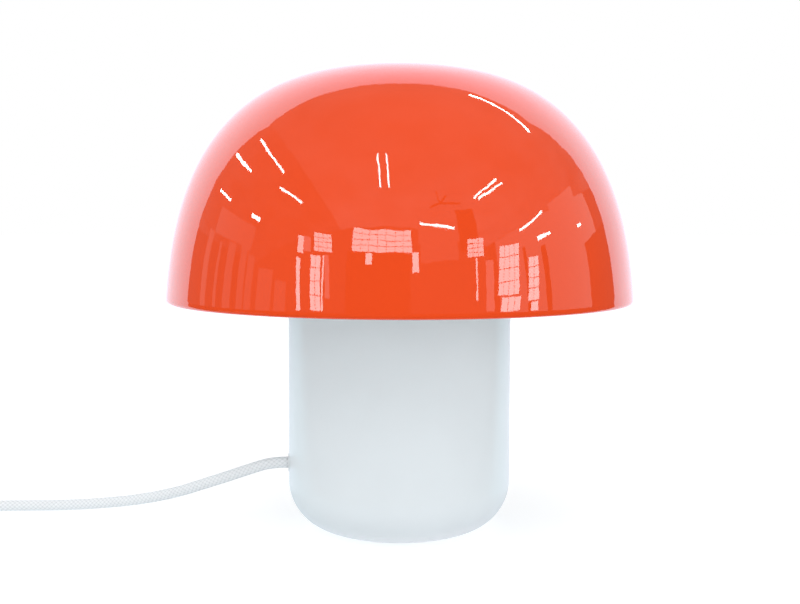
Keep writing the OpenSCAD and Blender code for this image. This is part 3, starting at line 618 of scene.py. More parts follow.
# Braid of the flex: strands each way and the length of one turn. A strand lies at BRAID_LIE of its
# height, rises or dips by BRAID_CROSS where it crosses another, and holds BRAID_YARNS yarns
BRAID_STRANDS = 8
BRAID_TURN = 21.5
BRAID_LIE = 0.62
BRAID_CROSS = 0.38
BRAID_YARNS = 4
BRAID_DEPTH = 0.3
BRAID_SIDES = 72


def braid_height(along, around):
    """Height of the braid's surface from 0 to 1. Strands run both ways round and pass over and under."""
    def family(phase, other, sign):
        number = math.floor(phase)
        across = 2 * (phase - number) - 1
        crest = math.sqrt(max(1 - across * across, 0))
        return (BRAID_LIE + BRAID_CROSS * sign * math.cos(math.pi * (other - 0.5 + number))) * crest
    a = BRAID_STRANDS * (around + along / BRAID_TURN)
    b = BRAID_STRANDS * (around - along / BRAID_TURN)
    return max(family(a, b, 1), family(b, a, -1), 0)


def braid_material(name, relief):
    """White polyester braid: the strands pass over and under each other, with fine yarns in each, and
    painted shade darkens the valleys between them.
    """
    t = new_tree(name)
    split = t.node("SeparateXYZ", {"Vector": t.first("UVMap", uv_map="Along")}).outputs
    along = t.maths("DIVIDE", split["X"], BRAID_TURN)
    phases = [t.times(t.maths(way, split["Y"], along), BRAID_STRANDS) for way in ("ADD", "SUBTRACT")]
    heights = []
    yarns = []
    for phase, other, sign in ((phases[0], phases[1], 1), (phases[1], phases[0], -1)):
        across = t.less(t.times(t.maths("FRACT", phase), 2.0), 1.0)
        crest = t.maths("SQRT", t.maths("SUBTRACT", 1.0, t.times(across, across), clamp=True))
        turn = t.times(t.maths("ADD", t.less(other, 0.5), t.maths("FLOOR", phase)), math.pi)
        over = t.times(t.maths("COSINE", turn), BRAID_CROSS * sign)
        heights.append(t.times(crest, t.maths("ADD", over, BRAID_LIE)))
        yarns.append(t.maths("SINE", t.times(phase, TURN * BRAID_YARNS)))
    top = t.most(heights[0], heights[1])
    yarn = t.choose(t.maths("GREATER_THAN", heights[0], heights[1]), yarns[1], yarns[0])
    fluff = t.noise(1700.0, 4.0, 0.7)
    # Painted shade: by the braid's height, crests are paler and the valleys between strands darker.
    hue = t.between(top, linear(206, 211, 213), linear(243, 246, 248), 0.1, 0.85)
    hue = t.blend(t.spread(fluff, 0.0, 0.25, 0.35), hue, linear(214, 218, 220))
    normal = t.bump(t.maths("ADD", t.times(yarn, 0.5), fluff), 0.35, 0.05)
    if relief:
        normal = t.bump(top, 1.0, 0.28, normal)
    return t.surface(Base_Color=hue, Roughness=0.62, Specular_IOR_Level=0.4, Sheen_Weight=0.25,
                     Sheen_Roughness=0.4, Normal=normal)


# Cords: one runs from the body to the switch, one from the switch to the plug, and one inside the body
def braided(k, along):
    return FLEX_D / 2 - BRAID_DEPTH * (1 - braid_height(along, k / BRAID_SIDES))


def plain(k, along):
    return FLEX_D / 2 - BRAID_DEPTH * 0.3


braid_fine = braid_material("braid_fine", False)
braid_bumped = braid_material("braid_bumped", True)
PLAIN_SIDES = 28
COIL_RINGS = 64
lamp_path = smooth_path(LAMP_ROUTE, 0.34)
lead_path = smooth_path(LEAD_ROUTE, 2.0)
lead_path += [coil_point(i / COIL_RINGS) for i in range(int(COIL_TURNS * COIL_RINGS) + 1)]
lead_path += smooth_path(TAIL_ROUTE, 2.0)
lamp_cord = tube_piece("lamp_cord", lamp_path, BRAID_SIDES, braided, braid_fine)
lead_cord = tube_piece("lead_cord", lead_path, PLAIN_SIDES, plain, braid_bumped)
inner_cord = tube_piece("inner_cord", smooth_path(INNER_ROUTE, 2.0), PLAIN_SIDES, plain, braid_bumped)
for cord, nodes in ((lamp_cord, ["lamp_flex"]), (lead_cord, ["lead_flex", "flex_coil", "tail_flex"]),
                    (inner_cord, ["inner_flex"])):
    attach(cord, "base")
    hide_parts(*nodes)

# Finishes
orange_lacquer = lacquer("orange_lacquer", (0.83, 0.067, 0.008, 1.0), 0.16)
white_lacquer = lacquer("white_lacquer", linear(233, 240, 243), 0.08, 0.22, 0.45)
white_satin = satin_paint("white_satin", linear(232, 235, 234))
zinc = plated_metal("zinc", linear(196, 198, 202), 900.0, 0.3, linear(178, 176, 166))
brass = plated_metal("brass", linear(205, 168, 92), 700.0, 0.28)
nickel = plated_metal("nickel", linear(206, 205, 200), 1100.0, 0.22)
solder = plated_metal("solder", linear(176, 178, 180), 500.0, 0.42)
holder_plastic = moulded_plastic("holder_plastic", linear(230, 231, 227), 0.32)
white_plastic = moulded_plastic("white_plastic", linear(234, 237, 239), 0.36, 2200.0, 0.04)
rocker_plastic = moulded_plastic("rocker_plastic", linear(226, 229, 230), 0.22, 2600.0, 0.01)
black_glass = moulded_plastic("black_glass", linear(28, 26, 30), 0.08, 300.0, 0.01)
sleeve_plastic = moulded_plastic("sleeve_plastic", linear(34, 34, 36), 0.4)
brown_sheath = moulded_plastic("brown_sheath", linear(104, 62, 36), 0.4)
blue_sheath = moulded_plastic("blue_sheath", linear(44, 88, 168), 0.4)
iron = cast_iron("iron")
felt_grey = felt("felt_grey")
clear_silicone = silicone("clear_silicone")
opal = opal_glass("opal")

# CAD nodes that stay in view, with their finishes
FINISHES = (
    (white_satin, ["top_plate"]),
    (zinc, ["carrier_hub", "carrier_arms", "carrier_rivets", "top_plate_screws", "ballast_bolt",
            "ballast_washer", "ballast_nut", "nipple", "nipple_washer", "nipple_nut",
            "holder_lock_screw", "cord_grip_screws", "switch_screws"]),
    (clear_silicone, ["carrier_pads"]),
    (iron, ["ballast"]),
    (holder_plastic, ["holder_cap", "holder_insert", "lower_ring_nut", "upper_ring_nut",
                      "cord_grip_base", "cord_grip_bar"]),
    (brass, ["centre_contact", "side_contact", "terminal_screws", "switch_contacts"]),
    (brown_sheath, ["live_wire"]),
    (blue_sheath, ["neutral_wire"]),
    (white_plastic, ["switch_cores"]),
    (rocker_plastic, ["switch_rocker"]),
)


WELD_GAP = 0.004
EDGE_WIDTH = 0.25
EDGE_ANGLE = 30


def dress_node(piece, material):
    """Gives a carried-over CAD node its finish, joins its split vertices and breaks its edges."""
    if piece.material_slots:
        for entry in piece.material_slots:
            entry.material = material
    else:
        piece.data.materials.append(material)
    weld = piece.modifiers.new("weld", "WELD")
    weld.merge_threshold = WELD_GAP * MM
    edge = piece.modifiers.new("edge", "BEVEL")
    edge.width = EDGE_WIDTH * MM
    edge.segments = 2
    edge.limit_method = "ANGLE"
    edge.angle_limit = math.radians(EDGE_ANGLE)
    edge.harden_normals = False


for finish, nodes in FINISHES:
    for node_name in nodes:
        dress_node(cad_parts[node_name], finish)

# Shade: the dome's outline is a superellipse, cut at the rim bead
DOME_H = LAMP_H - EQUATOR_Z
DOME_A = SHADE_R / (1 - ((RIM_Z - EQUATOR_Z) / DOME_H) ** DOME_POWER) ** (1 / DOME_POWER)


def dome_point(t, inset):
    """A point of the outline, where t goes from 0 at its widest line to 90 degrees on top."""
    return Vector(((DOME_A - inset) * max(math.cos(t), 0.0) ** (2 / DOME_POWER),
                   EQUATOR_Z + (DOME_H - inset) * math.sin(t) ** (2 / DOME_POWER)))


def dome_radius(z, inset):
    return (DOME_A - inset) * (1 - ((z - EQUATOR_Z) / (DOME_H - inset)) ** DOME_POWER) ** (1 / DOME_POWER)


def dome_outline(inset, foot_z, count):
    """Points of the dome's outline from foot_z to the top, evenly spaced along it."""
    start = math.asin(((foot_z - EQUATOR_Z) / (DOME_H - inset)) ** (DOME_POWER / 2))
    steps = 4000
    fine = [dome_point(start + (math.pi / 2 - start) * i / steps, inset) for i in range(steps + 1)]
    return [(p.x, p.y) for p in evenly(fine, count)[:-1]] + [(0.0, LAMP_H - inset)]


BEAD_Z = RIM_Z + RIM_BEAD
BEAD_X = dome_radius(BEAD_Z, 0) - RIM_BEAD
BEAD_STEP = -8
BEAD_STEPS = 31
ORANGE_STEPS = 24
OUTSIDE_STEPS = 170
INSIDE_STEPS = 110
bead = [(BEAD_X + RIM_BEAD * math.cos(a), BEAD_Z + RIM_BEAD * math.sin(a))
        for a in (math.radians(BEAD_STEP * i) for i in range(1, BEAD_STEPS + 1))]
outside = dome_outline(0, BEAD_Z, OUTSIDE_STEPS)[::-1]
inside = dome_outline(SHADE_WALL, BEAD_Z + RIM_BEAD + 0.6, INSIDE_STEPS)
bead_lip = [(BEAD_X + 0.35, BEAD_Z + 1.95), (BEAD_X + 1.0, BEAD_Z + 2.05)]
shade_dome = lathe("shade_dome", outside + bead + bead_lip + inside, 256, [orange_lacquer, white_satin],
                   lambda j: 0 if j < len(outside) + ORANGE_STEPS else 1, closed=False)
wear(shade_dome, "shade", "shade_shell")

# Body: a drawn cup with a dished floor, and its hole for the lead
DISH_TOP = PAD_T + DISH_H
BODY_IN = BODY_R - BODY_WALL
FLOOR_TOP = PAD_T + BODY_WALL
cup_outline = rounded([
    (BODY_IN, BODY_TOP - 2, 0), (BODY_IN, BODY_TOP, 0.45), (BODY_R, BODY_TOP, 0.45),
    (BODY_R, PAD_T, FOOT_ROUND), (DISH_R, PAD_T, 1.4), (DISH_R, DISH_TOP, 1.4), (0, DISH_TOP, 0)], 28)
cup_inner = rounded([
    (0, DISH_TOP + BODY_WALL, 0), (DISH_R + BODY_WALL, DISH_TOP + BODY_WALL, 1.2),
    (DISH_R + BODY_WALL, FLOOR_TOP, 0.4), (BODY_IN, FLOOR_TOP, FOOT_ROUND - BODY_WALL),
    (BODY_IN, BODY_TOP - 2, 0)], 14)
body_cup = lathe("body_cup", filled(cup_outline, 3.0) + cup_inner[:-1], 224, [white_lacquer])
combine(body_cup, [rod("exit_cutter", "x", (-BODY_R - 4, 0, EXIT_Z), BUSH_HOLE_R, 12)])
wear(body_cup, "base", "body_shell")

# Seat ring inside the shade: a flange and an upright edge that follows the dome
SEAT_FIT = SHADE_WALL + 0.1
SEAT_OUT = dome_radius(SEAT_Z, SEAT_FIT)
SEAT_IN = SEAT_OUT - SEAT_W
seat_heights = [SEAT_Z + 2 + 1.5 * i for i in range(5)]
seat_profile = rounded(
    [(SEAT_IN + 5, SEAT_Z, 0), (SEAT_OUT, SEAT_Z, 0.9)]
    + [(dome_radius(z, SEAT_FIT), z, 0) for z in seat_heights]
    + [(dome_radius(SEAT_Z + SEAT_H, gap), SEAT_Z + SEAT_H, 0.35) for gap in (SEAT_FIT, SEAT_FIT + SEAT_T)]
    + [(dome_radius(z, SEAT_FIT + SEAT_T), z, 0) for z in seat_heights[:0:-1]]
    + [(dome_radius(SEAT_Z + SEAT_T, SEAT_FIT + SEAT_T), SEAT_Z + SEAT_T, 1.0),
       (SEAT_IN, SEAT_Z + SEAT_T, 0.5), (SEAT_IN, SEAT_Z, 0.5), (SEAT_IN + 5, SEAT_Z, 0)], 5)
wear(lathe("seat_ring", seat_profile[:-1], 224, [white_satin]), "shade", "shade_seat_ring")


# Bush that lines the body's hole, turned about its own axis and then laid along x
def follow_wall(j, a, r, h):
    """Bends the rows that touch the body's wall round it."""
    sag = math.sqrt(BODY_R ** 2 - (r * math.sin(a)) ** 2) - BODY_R
    return 0.0, sag if j in bush_wall_rows else 0.0


bush_bore = FLEX_D / 2 + 0.1
bush_out = BUSH_HOLE_R - 0.1
bush_flange = BUSH_HOLE_R + 1.6
bush_lip = BUSH_LIP / 2
bush_rim = BUSH_HOLE_R + 0.6
bush_end = -5
bush_back = -BODY_WALL - 0.1
bush_front = rounded([(bush_bore, -2, 0), (bush_bore, bush_lip, 0.2), (bush_rim - 0.1, bush_lip, 0.3),
                      (bush_rim, 0.02, 0)], 6)
bush_rear = rounded([(bush_out, bush_back, 0), (bush_flange, bush_back, 0),
                     (bush_flange, -BODY_WALL - 2.5, 0.4), (bush_out, -BODY_WALL - 2.6, 0.3),
                     (bush_out, bush_end, 0.3), (bush_bore, bush_end, 0.3), (bush_bore, -2, 0)], 4)
bush_wall_rows = range(len(bush_front) - 1, len(bush_front) + 3)
wall_bush = lathe("wall_bush", bush_front + [(bush_out, 0.02)] + bush_rear[:-1], 96, [white_plastic],
                  shift=follow_wall)
wall_bush.data.transform(Matrix.Translation(Vector((-BODY_R, 0, EXIT_Z)) * MM)
                         @ Matrix.Rotation(math.radians(-90), 4, "Y"))
mark_sharp(wall_bush, 40)
wear(wall_bush, "base", "cord_bush")

# Felt ring under the body, with a slightly uneven cut edge
PAD_OUT = BODY_R - FOOT_ROUND - 1.2
PAD_IN = BODY_R - FOOT_ROUND - PAD_W + 0.2


def cut_edge(j, a, r, z):
    wobble = 0.1 * math.sin(23 * a + r) + 0.07 * math.sin(57 * a + 3 * r) + 0.05 * math.sin(131 * a)
    lift = 0.03 + 0.015 * math.sin(37 * a + r) + 0.015 * math.sin(83 * a + 2 * r) if z < 0.02 else 0.0
    return (wobble if abs(r - PAD_IN) < 0.4 or abs(r - PAD_OUT) < 0.4 else 0.0), lift


pad_profile = rounded([(PAD_IN + 3, 0, 0), (PAD_OUT, 0, 0.3), (PAD_OUT, PAD_T, 0.2), (PAD_IN, PAD_T, 0.2),
                       (PAD_IN, 0, 0.3), (PAD_IN + 3, 0, 0)], 4)
felt_ring = lathe("felt_ring", filled(pad_profile, 1.2)[:-1], 360, [felt_grey], shift=cut_edge)
wear(felt_ring, "base", "base_pad")


# Lampholder's lower part, with the thread that the ring nuts run on
def thread(z, a, pitch, depth, foot, head):
    """How far a thread's surface lies below its crest. It fades out toward foot and head."""
    turn = math.cos(TURN * z / pitch - a)
    valley = min(max(0.5 - 0.9 * turn, 0.0), 1.0)
    fade = ramp(z, foot, foot + pitch) * (1 - ramp(z, head - pitch, head))
    return depth * (1 - fade + fade * valley)


def skirt_thread(j, a, r, z):
    if j >= skirt_rows:
        return 0.0, 0.0
    return -thread(z, a, SKIRT_PITCH, SKIRT_THREAD, SKIRT_Z + 0.8, SKIRT_TOP - 2.5), 0.0


SKIRT_PITCH = 2.0
SKIRT_THREAD = 0.55
SKIRT_STEP = 0.25
SKIRT_NECK = HOLDER_R - 0.55
SKIRT_END = HOLDER_R - 0.9
CAP_WAY = CAP_R + 0.08
skirt_rows = int((SKIRT_TOP - SKIRT_Z - 0.8) / SKIRT_STEP) + 1
skirt_outside = [(HOLDER_R, SKIRT_Z + 0.4 + SKIRT_STEP * i) for i in range(skirt_rows)]
skirt_inside = rounded([
    (SKIRT_NECK, SKIRT_TOP - 0.4, 0), (SKIRT_END, SKIRT_TOP, 0.3), (MOUTH_R, SKIRT_TOP, 0.5),
    (MOUTH_R, SKIRT_TOP - 7, 0.2), (CAP_WAY, SKIRT_TOP - 7, 0.4), (CAP_WAY, INSERT_TOP, 0.1),
    (INSERT_R, INSERT_TOP, 0.1), (INSERT_R, SKIRT_Z, 0.1), (SKIRT_END, SKIRT_Z, 0.3),
    (SKIRT_NECK, SKIRT_Z + 0.3, 0)], 4)
threaded_skirt = lathe("threaded_skirt", skirt_outside + skirt_inside[1:], 120, [holder_plastic],
                       shift=skirt_thread)
slot_w = 4.4
slot_plan = ((-1, -slot_w / 2), (CAP_R + 1.6, -slot_w / 2), (CAP_R + 1.6, slot_w / 2), (-1, slot_w / 2))
slot_box = [(x, y, z) for z in (SKIRT_Z - 1, INSERT_TOP + 11) for x, y in slot_plan]
slot_cutter = mesh_piece("slot_cutter", slot_box, end_faces(2, 4) + ring_faces(2, 4), [], smooth=False)
combine(threaded_skirt, [slot_cutter], angle=50)
wear(threaded_skirt, "base", "holder_skirt")

# Bulb: cap with its rolled thread and crimps, insulator, solder tip and globe
CAP_FOOT = TIP_Z + 3
COLLAR_Z = SKIRT_TOP - 4
CAP_TOP = SKIRT_TOP - 0.5
CAP_INSIDE = 5.75
CAP_PITCH = 2.82
CAP_THREAD = 0.62
CRIMPS = 8
CRIMP_Z = COLLAR_Z + 2.0
CRIMP_R = 0.8
CRIMP_DEPTH = 0.28


def cap_shape(j, a, r, z):
    """The cap's thread below its collar, and a ring of crimp dimples on the collar."""
    if z < COLLAR_Z - 2 and j < cap_rows:
        return -thread(z, a, CAP_PITCH, CAP_THREAD, CAP_FOOT + 0.2, COLLAR_Z - 1.4), 0.0
    if j >= cap_rows or abs(z - CRIMP_Z) > 0.9:
        return 0.0, 0.0
    away = (a * CRIMPS / TURN + 0.5) % 1 - 0.5
    far = math.hypot(away * TURN / CRIMPS * r, z - CRIMP_Z)
    return -CRIMP_DEPTH * max(1 - (far / CRIMP_R) ** 2, 0) ** 1.5, 0.0


cap_thread = [(CAP_R, CAP_FOOT + 0.35 + 0.2 * i) for i in range(int((COLLAR_Z - 2.4 - CAP_FOOT) / 0.2))]
cap_flare = filled(rounded([(CAP_R - 0.62, COLLAR_Z - 2.0, 0), (CAP_R - 0.5, COLLAR_Z - 1.6, 0.6),
                            (COLLAR_R, COLLAR_Z, 0.9), (COLLAR_R, CAP_TOP - 0.1, 0)], 6), 0.3)
cap_rows = len(cap_thread) + len(cap_flare)
cap_inside = [(COLLAR_R - 0.2, CAP_TOP), (COLLAR_R - 0.45, CAP_TOP - 0.1), (COLLAR_R - 0.5, CAP_TOP - 0.4),
              (COLLAR_R - 0.5, COLLAR_Z), (CAP_INSIDE, COLLAR_Z - 2), (CAP_INSIDE, CAP_FOOT + 0.2),
              (CAP_INSIDE + 0.15, CAP_FOOT), (CAP_R - 0.8, CAP_FOOT), (CAP_R - 0.65, CAP_FOOT + 0.12)]
screw_cap = lathe("screw_cap", cap_thread + cap_flare + cap_inside, 192, [nickel], shift=cap_shape)
wear(screw_cap, "bulb", "bulb_cap")

tip_edge = TIP_Z + 1
glass_base = rounded([(2.0, tip_edge + 0.25, 0), (2.5, tip_edge, 0.2), (3.4, tip_edge + 0.05, 0.6),
                      (CAP_INSIDE - 0.15, CAP_FOOT - 0.1, 1.2), (CAP_INSIDE - 0.05, CAP_FOOT + 1, 0),
                      (0, CAP_FOOT + 1, 0)], 6)
cap_glass = lathe("cap_glass", glass_base + [(0, tip_edge + 0.3)], 96, [black_glass])
wear(cap_glass, "bulb", "bulb_insulator")


def solder_lumps(j, a, r, z):
    lift = 0.03 * math.sin(3 * a + j) if r > 0.6 else 0.0
    return 0.09 * math.sin(2 * a + 0.7) + 0.05 * math.sin(5 * a + j), lift


tip_dome = [(2.25 * math.sin(a), tip_edge - 0.97 * math.cos(a))
            for a in (math.radians(9 * i) for i in range(1, 11))]
tip_profile = [(0, TIP_Z)] + tip_dome + [(2.1, tip_edge + 0.15), (0, tip_edge + 0.15)]
wear(lathe("solder_tip", tip_profile, 64, [solder], shift=solder_lumps), "bulb", "bulb_tip")


def globe_outline(inset):
    """Outline of the globe from its neck to its top: a flowing neck and then the ball."""
    r = GLOBE_R - inset
    shoulder = math.radians(-35)
    foot = Vector((COLLAR_R - 0.6 - inset, SKIRT_TOP))
    join = Vector((r * math.cos(shoulder), GLOBE_Z + r * math.sin(shoulder)))
    reach = (join - foot).length
    rise = Vector((0, 1)) * reach
    swing = Vector((-math.sin(shoulder), math.cos(shoulder))) * reach
    neck = [hermite(i / 24, foot, rise, join, swing) for i in range(25)]
    count = 56
    ball = [(r * math.cos(a), GLOBE_Z + r * math.sin(a))
            for a in (shoulder + (math.pi / 2 - shoulder) * i / count for i in range(1, count))]
    return [(foot.x, COLLAR_Z + 1)] + [(p.x, p.y) for p in neck] + ball + [(0, GLOBE_Z + r)]


glass_ball = lathe("glass_ball", globe_outline(0) + globe_outline(0.8)[::-1], 128, [opal])
wear(glass_ball, "bulb", "bulb_globe")

# Switch on the lead: two shells of a bowed plan, with a crowned top and rounded edges
SW_BOW = 150.0
SW_CORNER = 9.0
SW_CROWN = 160.0
SW_POINTS = 240
SW_EDGE = 2.4
SW_SEAM = 0.25
SW_FOOT_EDGE = 1.8
WELL_W = 11.6
WELL_L = 23.9
WELL_WALL = 1.6
WELL_DEPTH = 8.0
WELL_EDGE = 0.45
WELL_CORNER = 0.6
WAY_GAP = 0.12
PIVOT_R = 1.58
PIVOT_HALF = 6.9
SCREW_X = 9.2
SCREW_Y = 21.0
POST_R = 3.0
HEAD_R = 2.5
SHAFT_R = 1.4


def box_reach(c, s, half_x, half_y, corner):
    """Distance from a rounded rectangle's middle to its outline, along the direction (c, s)."""
    flat_x, flat_y = half_x - corner, half_y - corner
    if c > 1e-6 and half_x / c * s <= flat_y:
        return half_x / c
    if s > 1e-6 and half_y / s * c <= flat_x:
        return half_y / s
    along = flat_x * c + flat_y * s
    return along + math.sqrt(max(along ** 2 - flat_x ** 2 - flat_y ** 2 + corner ** 2, 0))


def plan_point(a):
    """The switch's outline in direction a: a rounded rectangle whose long sides are bowed."""
    c, s = abs(math.cos(a)), abs(math.sin(a))
    push = SW_BOW - SW_W / 2
    bowed = -push * c + math.sqrt((push * c) ** 2 - push ** 2 + SW_BOW ** 2)
    return Vector((math.cos(a), math.sin(a))) * min(bowed, box_reach(c, s, SW_W / 2, SW_L / 2, SW_CORNER))


plan_steps = 3600
plan_fine = [plan_point(TURN * i / plan_steps) for i in range(plan_steps)]
plan_points = evenly(plan_fine + plan_fine[:1], SW_POINTS)[:-1]
plan_heads = [plan_points[(k + 1) % SW_POINTS] - plan_points[k - 1] for k in range(SW_POINTS)]
plan_normals = [Vector((head.y, -head.x)).normalized() for head in plan_heads]


def plan_ring(inset):
    return [p - n * inset for p, n in zip(plan_points, plan_normals)]


def well_ring(grow, corner=WELL_CORNER):
    """The well's outline, grown by grow, in the same directions as the plan's points."""
    heads = [p.normalized() for p in plan_points]
    return [d * box_reach(abs(d.x), abs(d.y), WELL_W / 2 + grow, WELL_L / 2 + grow, corner) for d in heads]


def at_height(ring, z):
    return [(p.x, p.y, z) for p in ring]


def plan_at(inset, z):
    return at_height(plan_ring(inset), z)


def on_crown(ring, drop=0.0):
    """A ring that lies drop below the switch's crowned top."""
    return [(p.x, p.y, SW_H - SW_CROWN + math.sqrt(SW_CROWN ** 2 - p.y ** 2) - drop) for p in ring]


def seam_rings(way):
    """The broken edge of a shell where the two meet. way is 1 for the upper one and -1 for the lower."""
    return [plan_at(SW_SEAM, SW_AXIS_Z), plan_at(SW_SEAM * 0.3, SW_AXIS_Z + way * SW_SEAM * 0.3),
            plan_at(0, SW_AXIS_Z + way * SW_SEAM)]


def shell_piece(name, rings, loop):
    """A shell from rings of (x, y, z) round the switch's centre. loop joins the last ring to the first."""
    verts = [(SWITCH[0] + x, SWITCH[1] + y, z) for ring in rings for x, y, z in ring]
    faces = ring_faces(len(rings), SW_POINTS, loop) + ([] if loop else end_faces(len(rings), SW_POINTS))
    return mesh_piece(name, verts, faces, [white_plastic])


def cord_way():
    start = (SWITCH[0], SWITCH[1] - SW_L / 2 - 2, SW_AXIS_Z)
    return rod("way_cutter", "y", start, FLEX_D / 2 + WAY_GAP, SW_L + 4)


well_foot = SW_H - WELL_DEPTH
top_rim = plan_ring(SW_EDGE)
well_edge = well_ring(WELL_EDGE, 0.9)
cover_rings = seam_rings(1)
cover_rings += [on_crown(plan_ring(SW_EDGE * far), SW_EDGE * down) for far, down in quarter(8)]
cover_rings += [on_crown([p.lerp(q, i / 8) for p, q in zip(top_rim, well_edge)]) for i in range(1, 9)]
cover_rings += [on_crown(well_ring(WELL_EDGE * down), WELL_EDGE * far) for far, down in quarter(4, 1)]
cover_rings += [at_height(well_ring(0), well_foot + 0.2), at_height(well_ring(0.2), well_foot),
                at_height(well_ring(WELL_WALL, 1.2), well_foot),
                on_crown(well_ring(WELL_WALL, 1.2), SW_WALL), on_crown(plan_ring(SW_WALL + 1), SW_WALL),
                on_crown(plan_ring(SW_WALL), SW_WALL + 1), plan_at(SW_WALL, SW_AXIS_Z)]
switch_top = shell_piece("switch_top", cover_rings, True)
pivot_start = (SWITCH[0] - PIVOT_HALF, SWITCH[1], PIVOT_Z)
combine(switch_top, [cord_way(), rod("pivot_cutter", "x", pivot_start, PIVOT_R, 2 * PIVOT_HALF)], angle=40)
wear(switch_top, "base", "switch_cover")

middle = [p * 0.5 for p in plan_points]
base_rings = [at_height(middle, SW_WALL), plan_at(SW_WALL + 1, SW_WALL), plan_at(SW_WALL, SW_WALL + 1),
              plan_at(SW_WALL, SW_AXIS_Z)]
base_rings += seam_rings(-1)
base_rings += [plan_at(SW_FOOT_EDGE * far, SW_FOOT_EDGE * down) for far, down in quarter(6)]
base_rings.append(at_height(middle, 0))
switch_foot = shell_piece("switch_foot", base_rings, False)
screw_places = [(SWITCH[0] + s * SCREW_X, SWITCH[1] + s * SCREW_Y) for s in (-1, 1)]
posts = [rod("post", "z", (x, y, 1), POST_R, SW_AXIS_Z - 1.1) for x, y in screw_places]
combine(switch_foot, posts, "UNION")
cutters = [cord_way()] + [rod("head_cutter", "z", (x, y, -1), HEAD_R, 3.2) for x, y in screw_places]
cutters += [rod("shaft_cutter", "z", (x, y, 1), SHAFT_R, SW_AXIS_Z) for x, y in screw_places]
combine(switch_foot, cutters, angle=40)
wear(switch_foot, "base", "switch_base")

# Plug: a grip that narrows to a ribbed boot. A knot is (y, half size), with y falling toward the cord
PLUG_SIDES = 120
PLUG_EDGE = 0.9
PLUG_FLAT = 2.2
BOOT_END = -PLUG_L - BOOT_L
BOOT_RIBS = 6
RIB_STEP = BOOT_L / BOOT_RIBS
RIB_WIDTH = RIB_STEP * 0.58
RIB_FADE = 0.11
wide_knots = [(0, PLUG_W / 2), (-7, PLUG_W * 0.492), (-14.3, PLUG_W * 0.458), (-20, PLUG_W * 0.39),
              (-25.5, PLUG_W * 0.305), (-30, PLUG_W * 0.225), (-33.5, 6.0), (-36.5, 4.75), (BOOT_END, 4.0)]
thick_knots = [(0, PLUG_T / 2), (-14.3, PLUG_T / 2), (-25.5, PLUG_T * 0.478), (-30, PLUG_T * 0.44),
               (-33.5, 5.35), (-36.5, 4.75), (BOOT_END, 4.0)]


def through(knots, y):
    """A smooth value through the knots."""
    i = next((n for n in range(len(knots) - 1) if y >= knots[n + 1][0]), len(knots) - 2)
    (y0, v0), (y1, v1) = knots[i], knots[i + 1]
    before = knots[max(i - 1, 0)]
    after = knots[min(i + 2, len(knots) - 1)]
    span = y1 - y0
    return hermite((y - y0) / span, v0, (v1 - before[1]) / (y1 - before[0]) * span,
                   v1, (after[1] - v0) / (after[0] - y0) * span)


def boot_rib(y):
    """Height of the boot's ribs at y: rounded rings that fade toward the cord."""
    far = -PLUG_L - y
    if not 0 <= far <= BOOT_L:
        return 0.0
    number = min(int(far / RIB_STEP), BOOT_RIBS - 1)
    place = (far - number * RIB_STEP) / RIB_WIDTH
    if place > 1:
        return 0.0
    return (1.0 - RIB_FADE * number) * min(1.0, 1.2 * math.sin(math.pi * place) ** 0.45)


# Places along the plug, each with how far the outline is drawn in there
plug_stations = [(0.0, 1.0)] + [(-PLUG_EDGE * far, PLUG_EDGE * down) for far, down in quarter(6, 1)]
plug_stations += [(-PLUG_EDGE - 0.7 * i, 0.0) for i in range(1, 48)]
boot_from = plug_stations[-1][0]
boot_count = 110
plug_stations += [(boot_from + (BOOT_END + 0.6 - boot_from) * i / boot_count, 0.0)
                  for i in range(1, boot_count + 1)]
plug_stations += [(BOOT_END + 0.3, 0.12), (BOOT_END + 0.05, 0.45)]
plug_verts = []
for y, inset in plug_stations:
    half_w = through(wide_knots, y) - inset + boot_rib(y)
    half_t = min(through(thick_knots, y) - inset + boot_rib(y), half_w)
    lift = (BOOT_Z - PLUG[2]) * ramp(-y, 25, 35)
    for k in range(PLUG_SIDES):
        a = TURN * k / PLUG_SIDES
        c = math.cos(a)
        side = 0 if abs(c) < 1e-9 else math.copysign(1, c)
        across = half_t * c + (half_w - half_t) * side * min(abs(c) * PLUG_FLAT, 1)
        plug_verts.append((PLUG[0] + across, PLUG[1] + y, PLUG[2] + half_t * math.sin(a) + lift))
plug_rows = len(plug_stations)
plug_grip = mesh_piece("plug_grip", plug_verts, ring_faces(plug_rows, PLUG_SIDES)
                       + end_faces(plug_rows, PLUG_SIDES), [white_plastic])
SHANK_R = 1.35
pin_places = [PLUG[0] + s * PIN_GAP / 2 for s in (-1, 1)]
combine(plug_grip, [rod("pin_cutter", "y", (x, PLUG[1] - 12, PLUG[2]), SHANK_R, 14) for x in pin_places],
        angle=50)
wear(plug_grip, "base", "plug_body")


def paired(name, profile, material):
    """Two turned pieces in one object, on the pins' axes."""
    made = lathe(name, filled(profile, 2.0), 64, [material], closed=profile[0][0] > 0)
    mesh = made.data
    mesh.transform(Matrix.Rotation(math.radians(-90), 4, "X"))
    other = mesh.copy()
    both = bmesh.new()
    for one, x in zip((mesh, other), pin_places):
        one.transform(Matrix.Translation(Vector((x, PLUG[1], PLUG[2])) * MM))
        both.from_mesh(one)
    both.to_mesh(mesh)
    both.free()
    mark_sharp(made, 50)
    return made


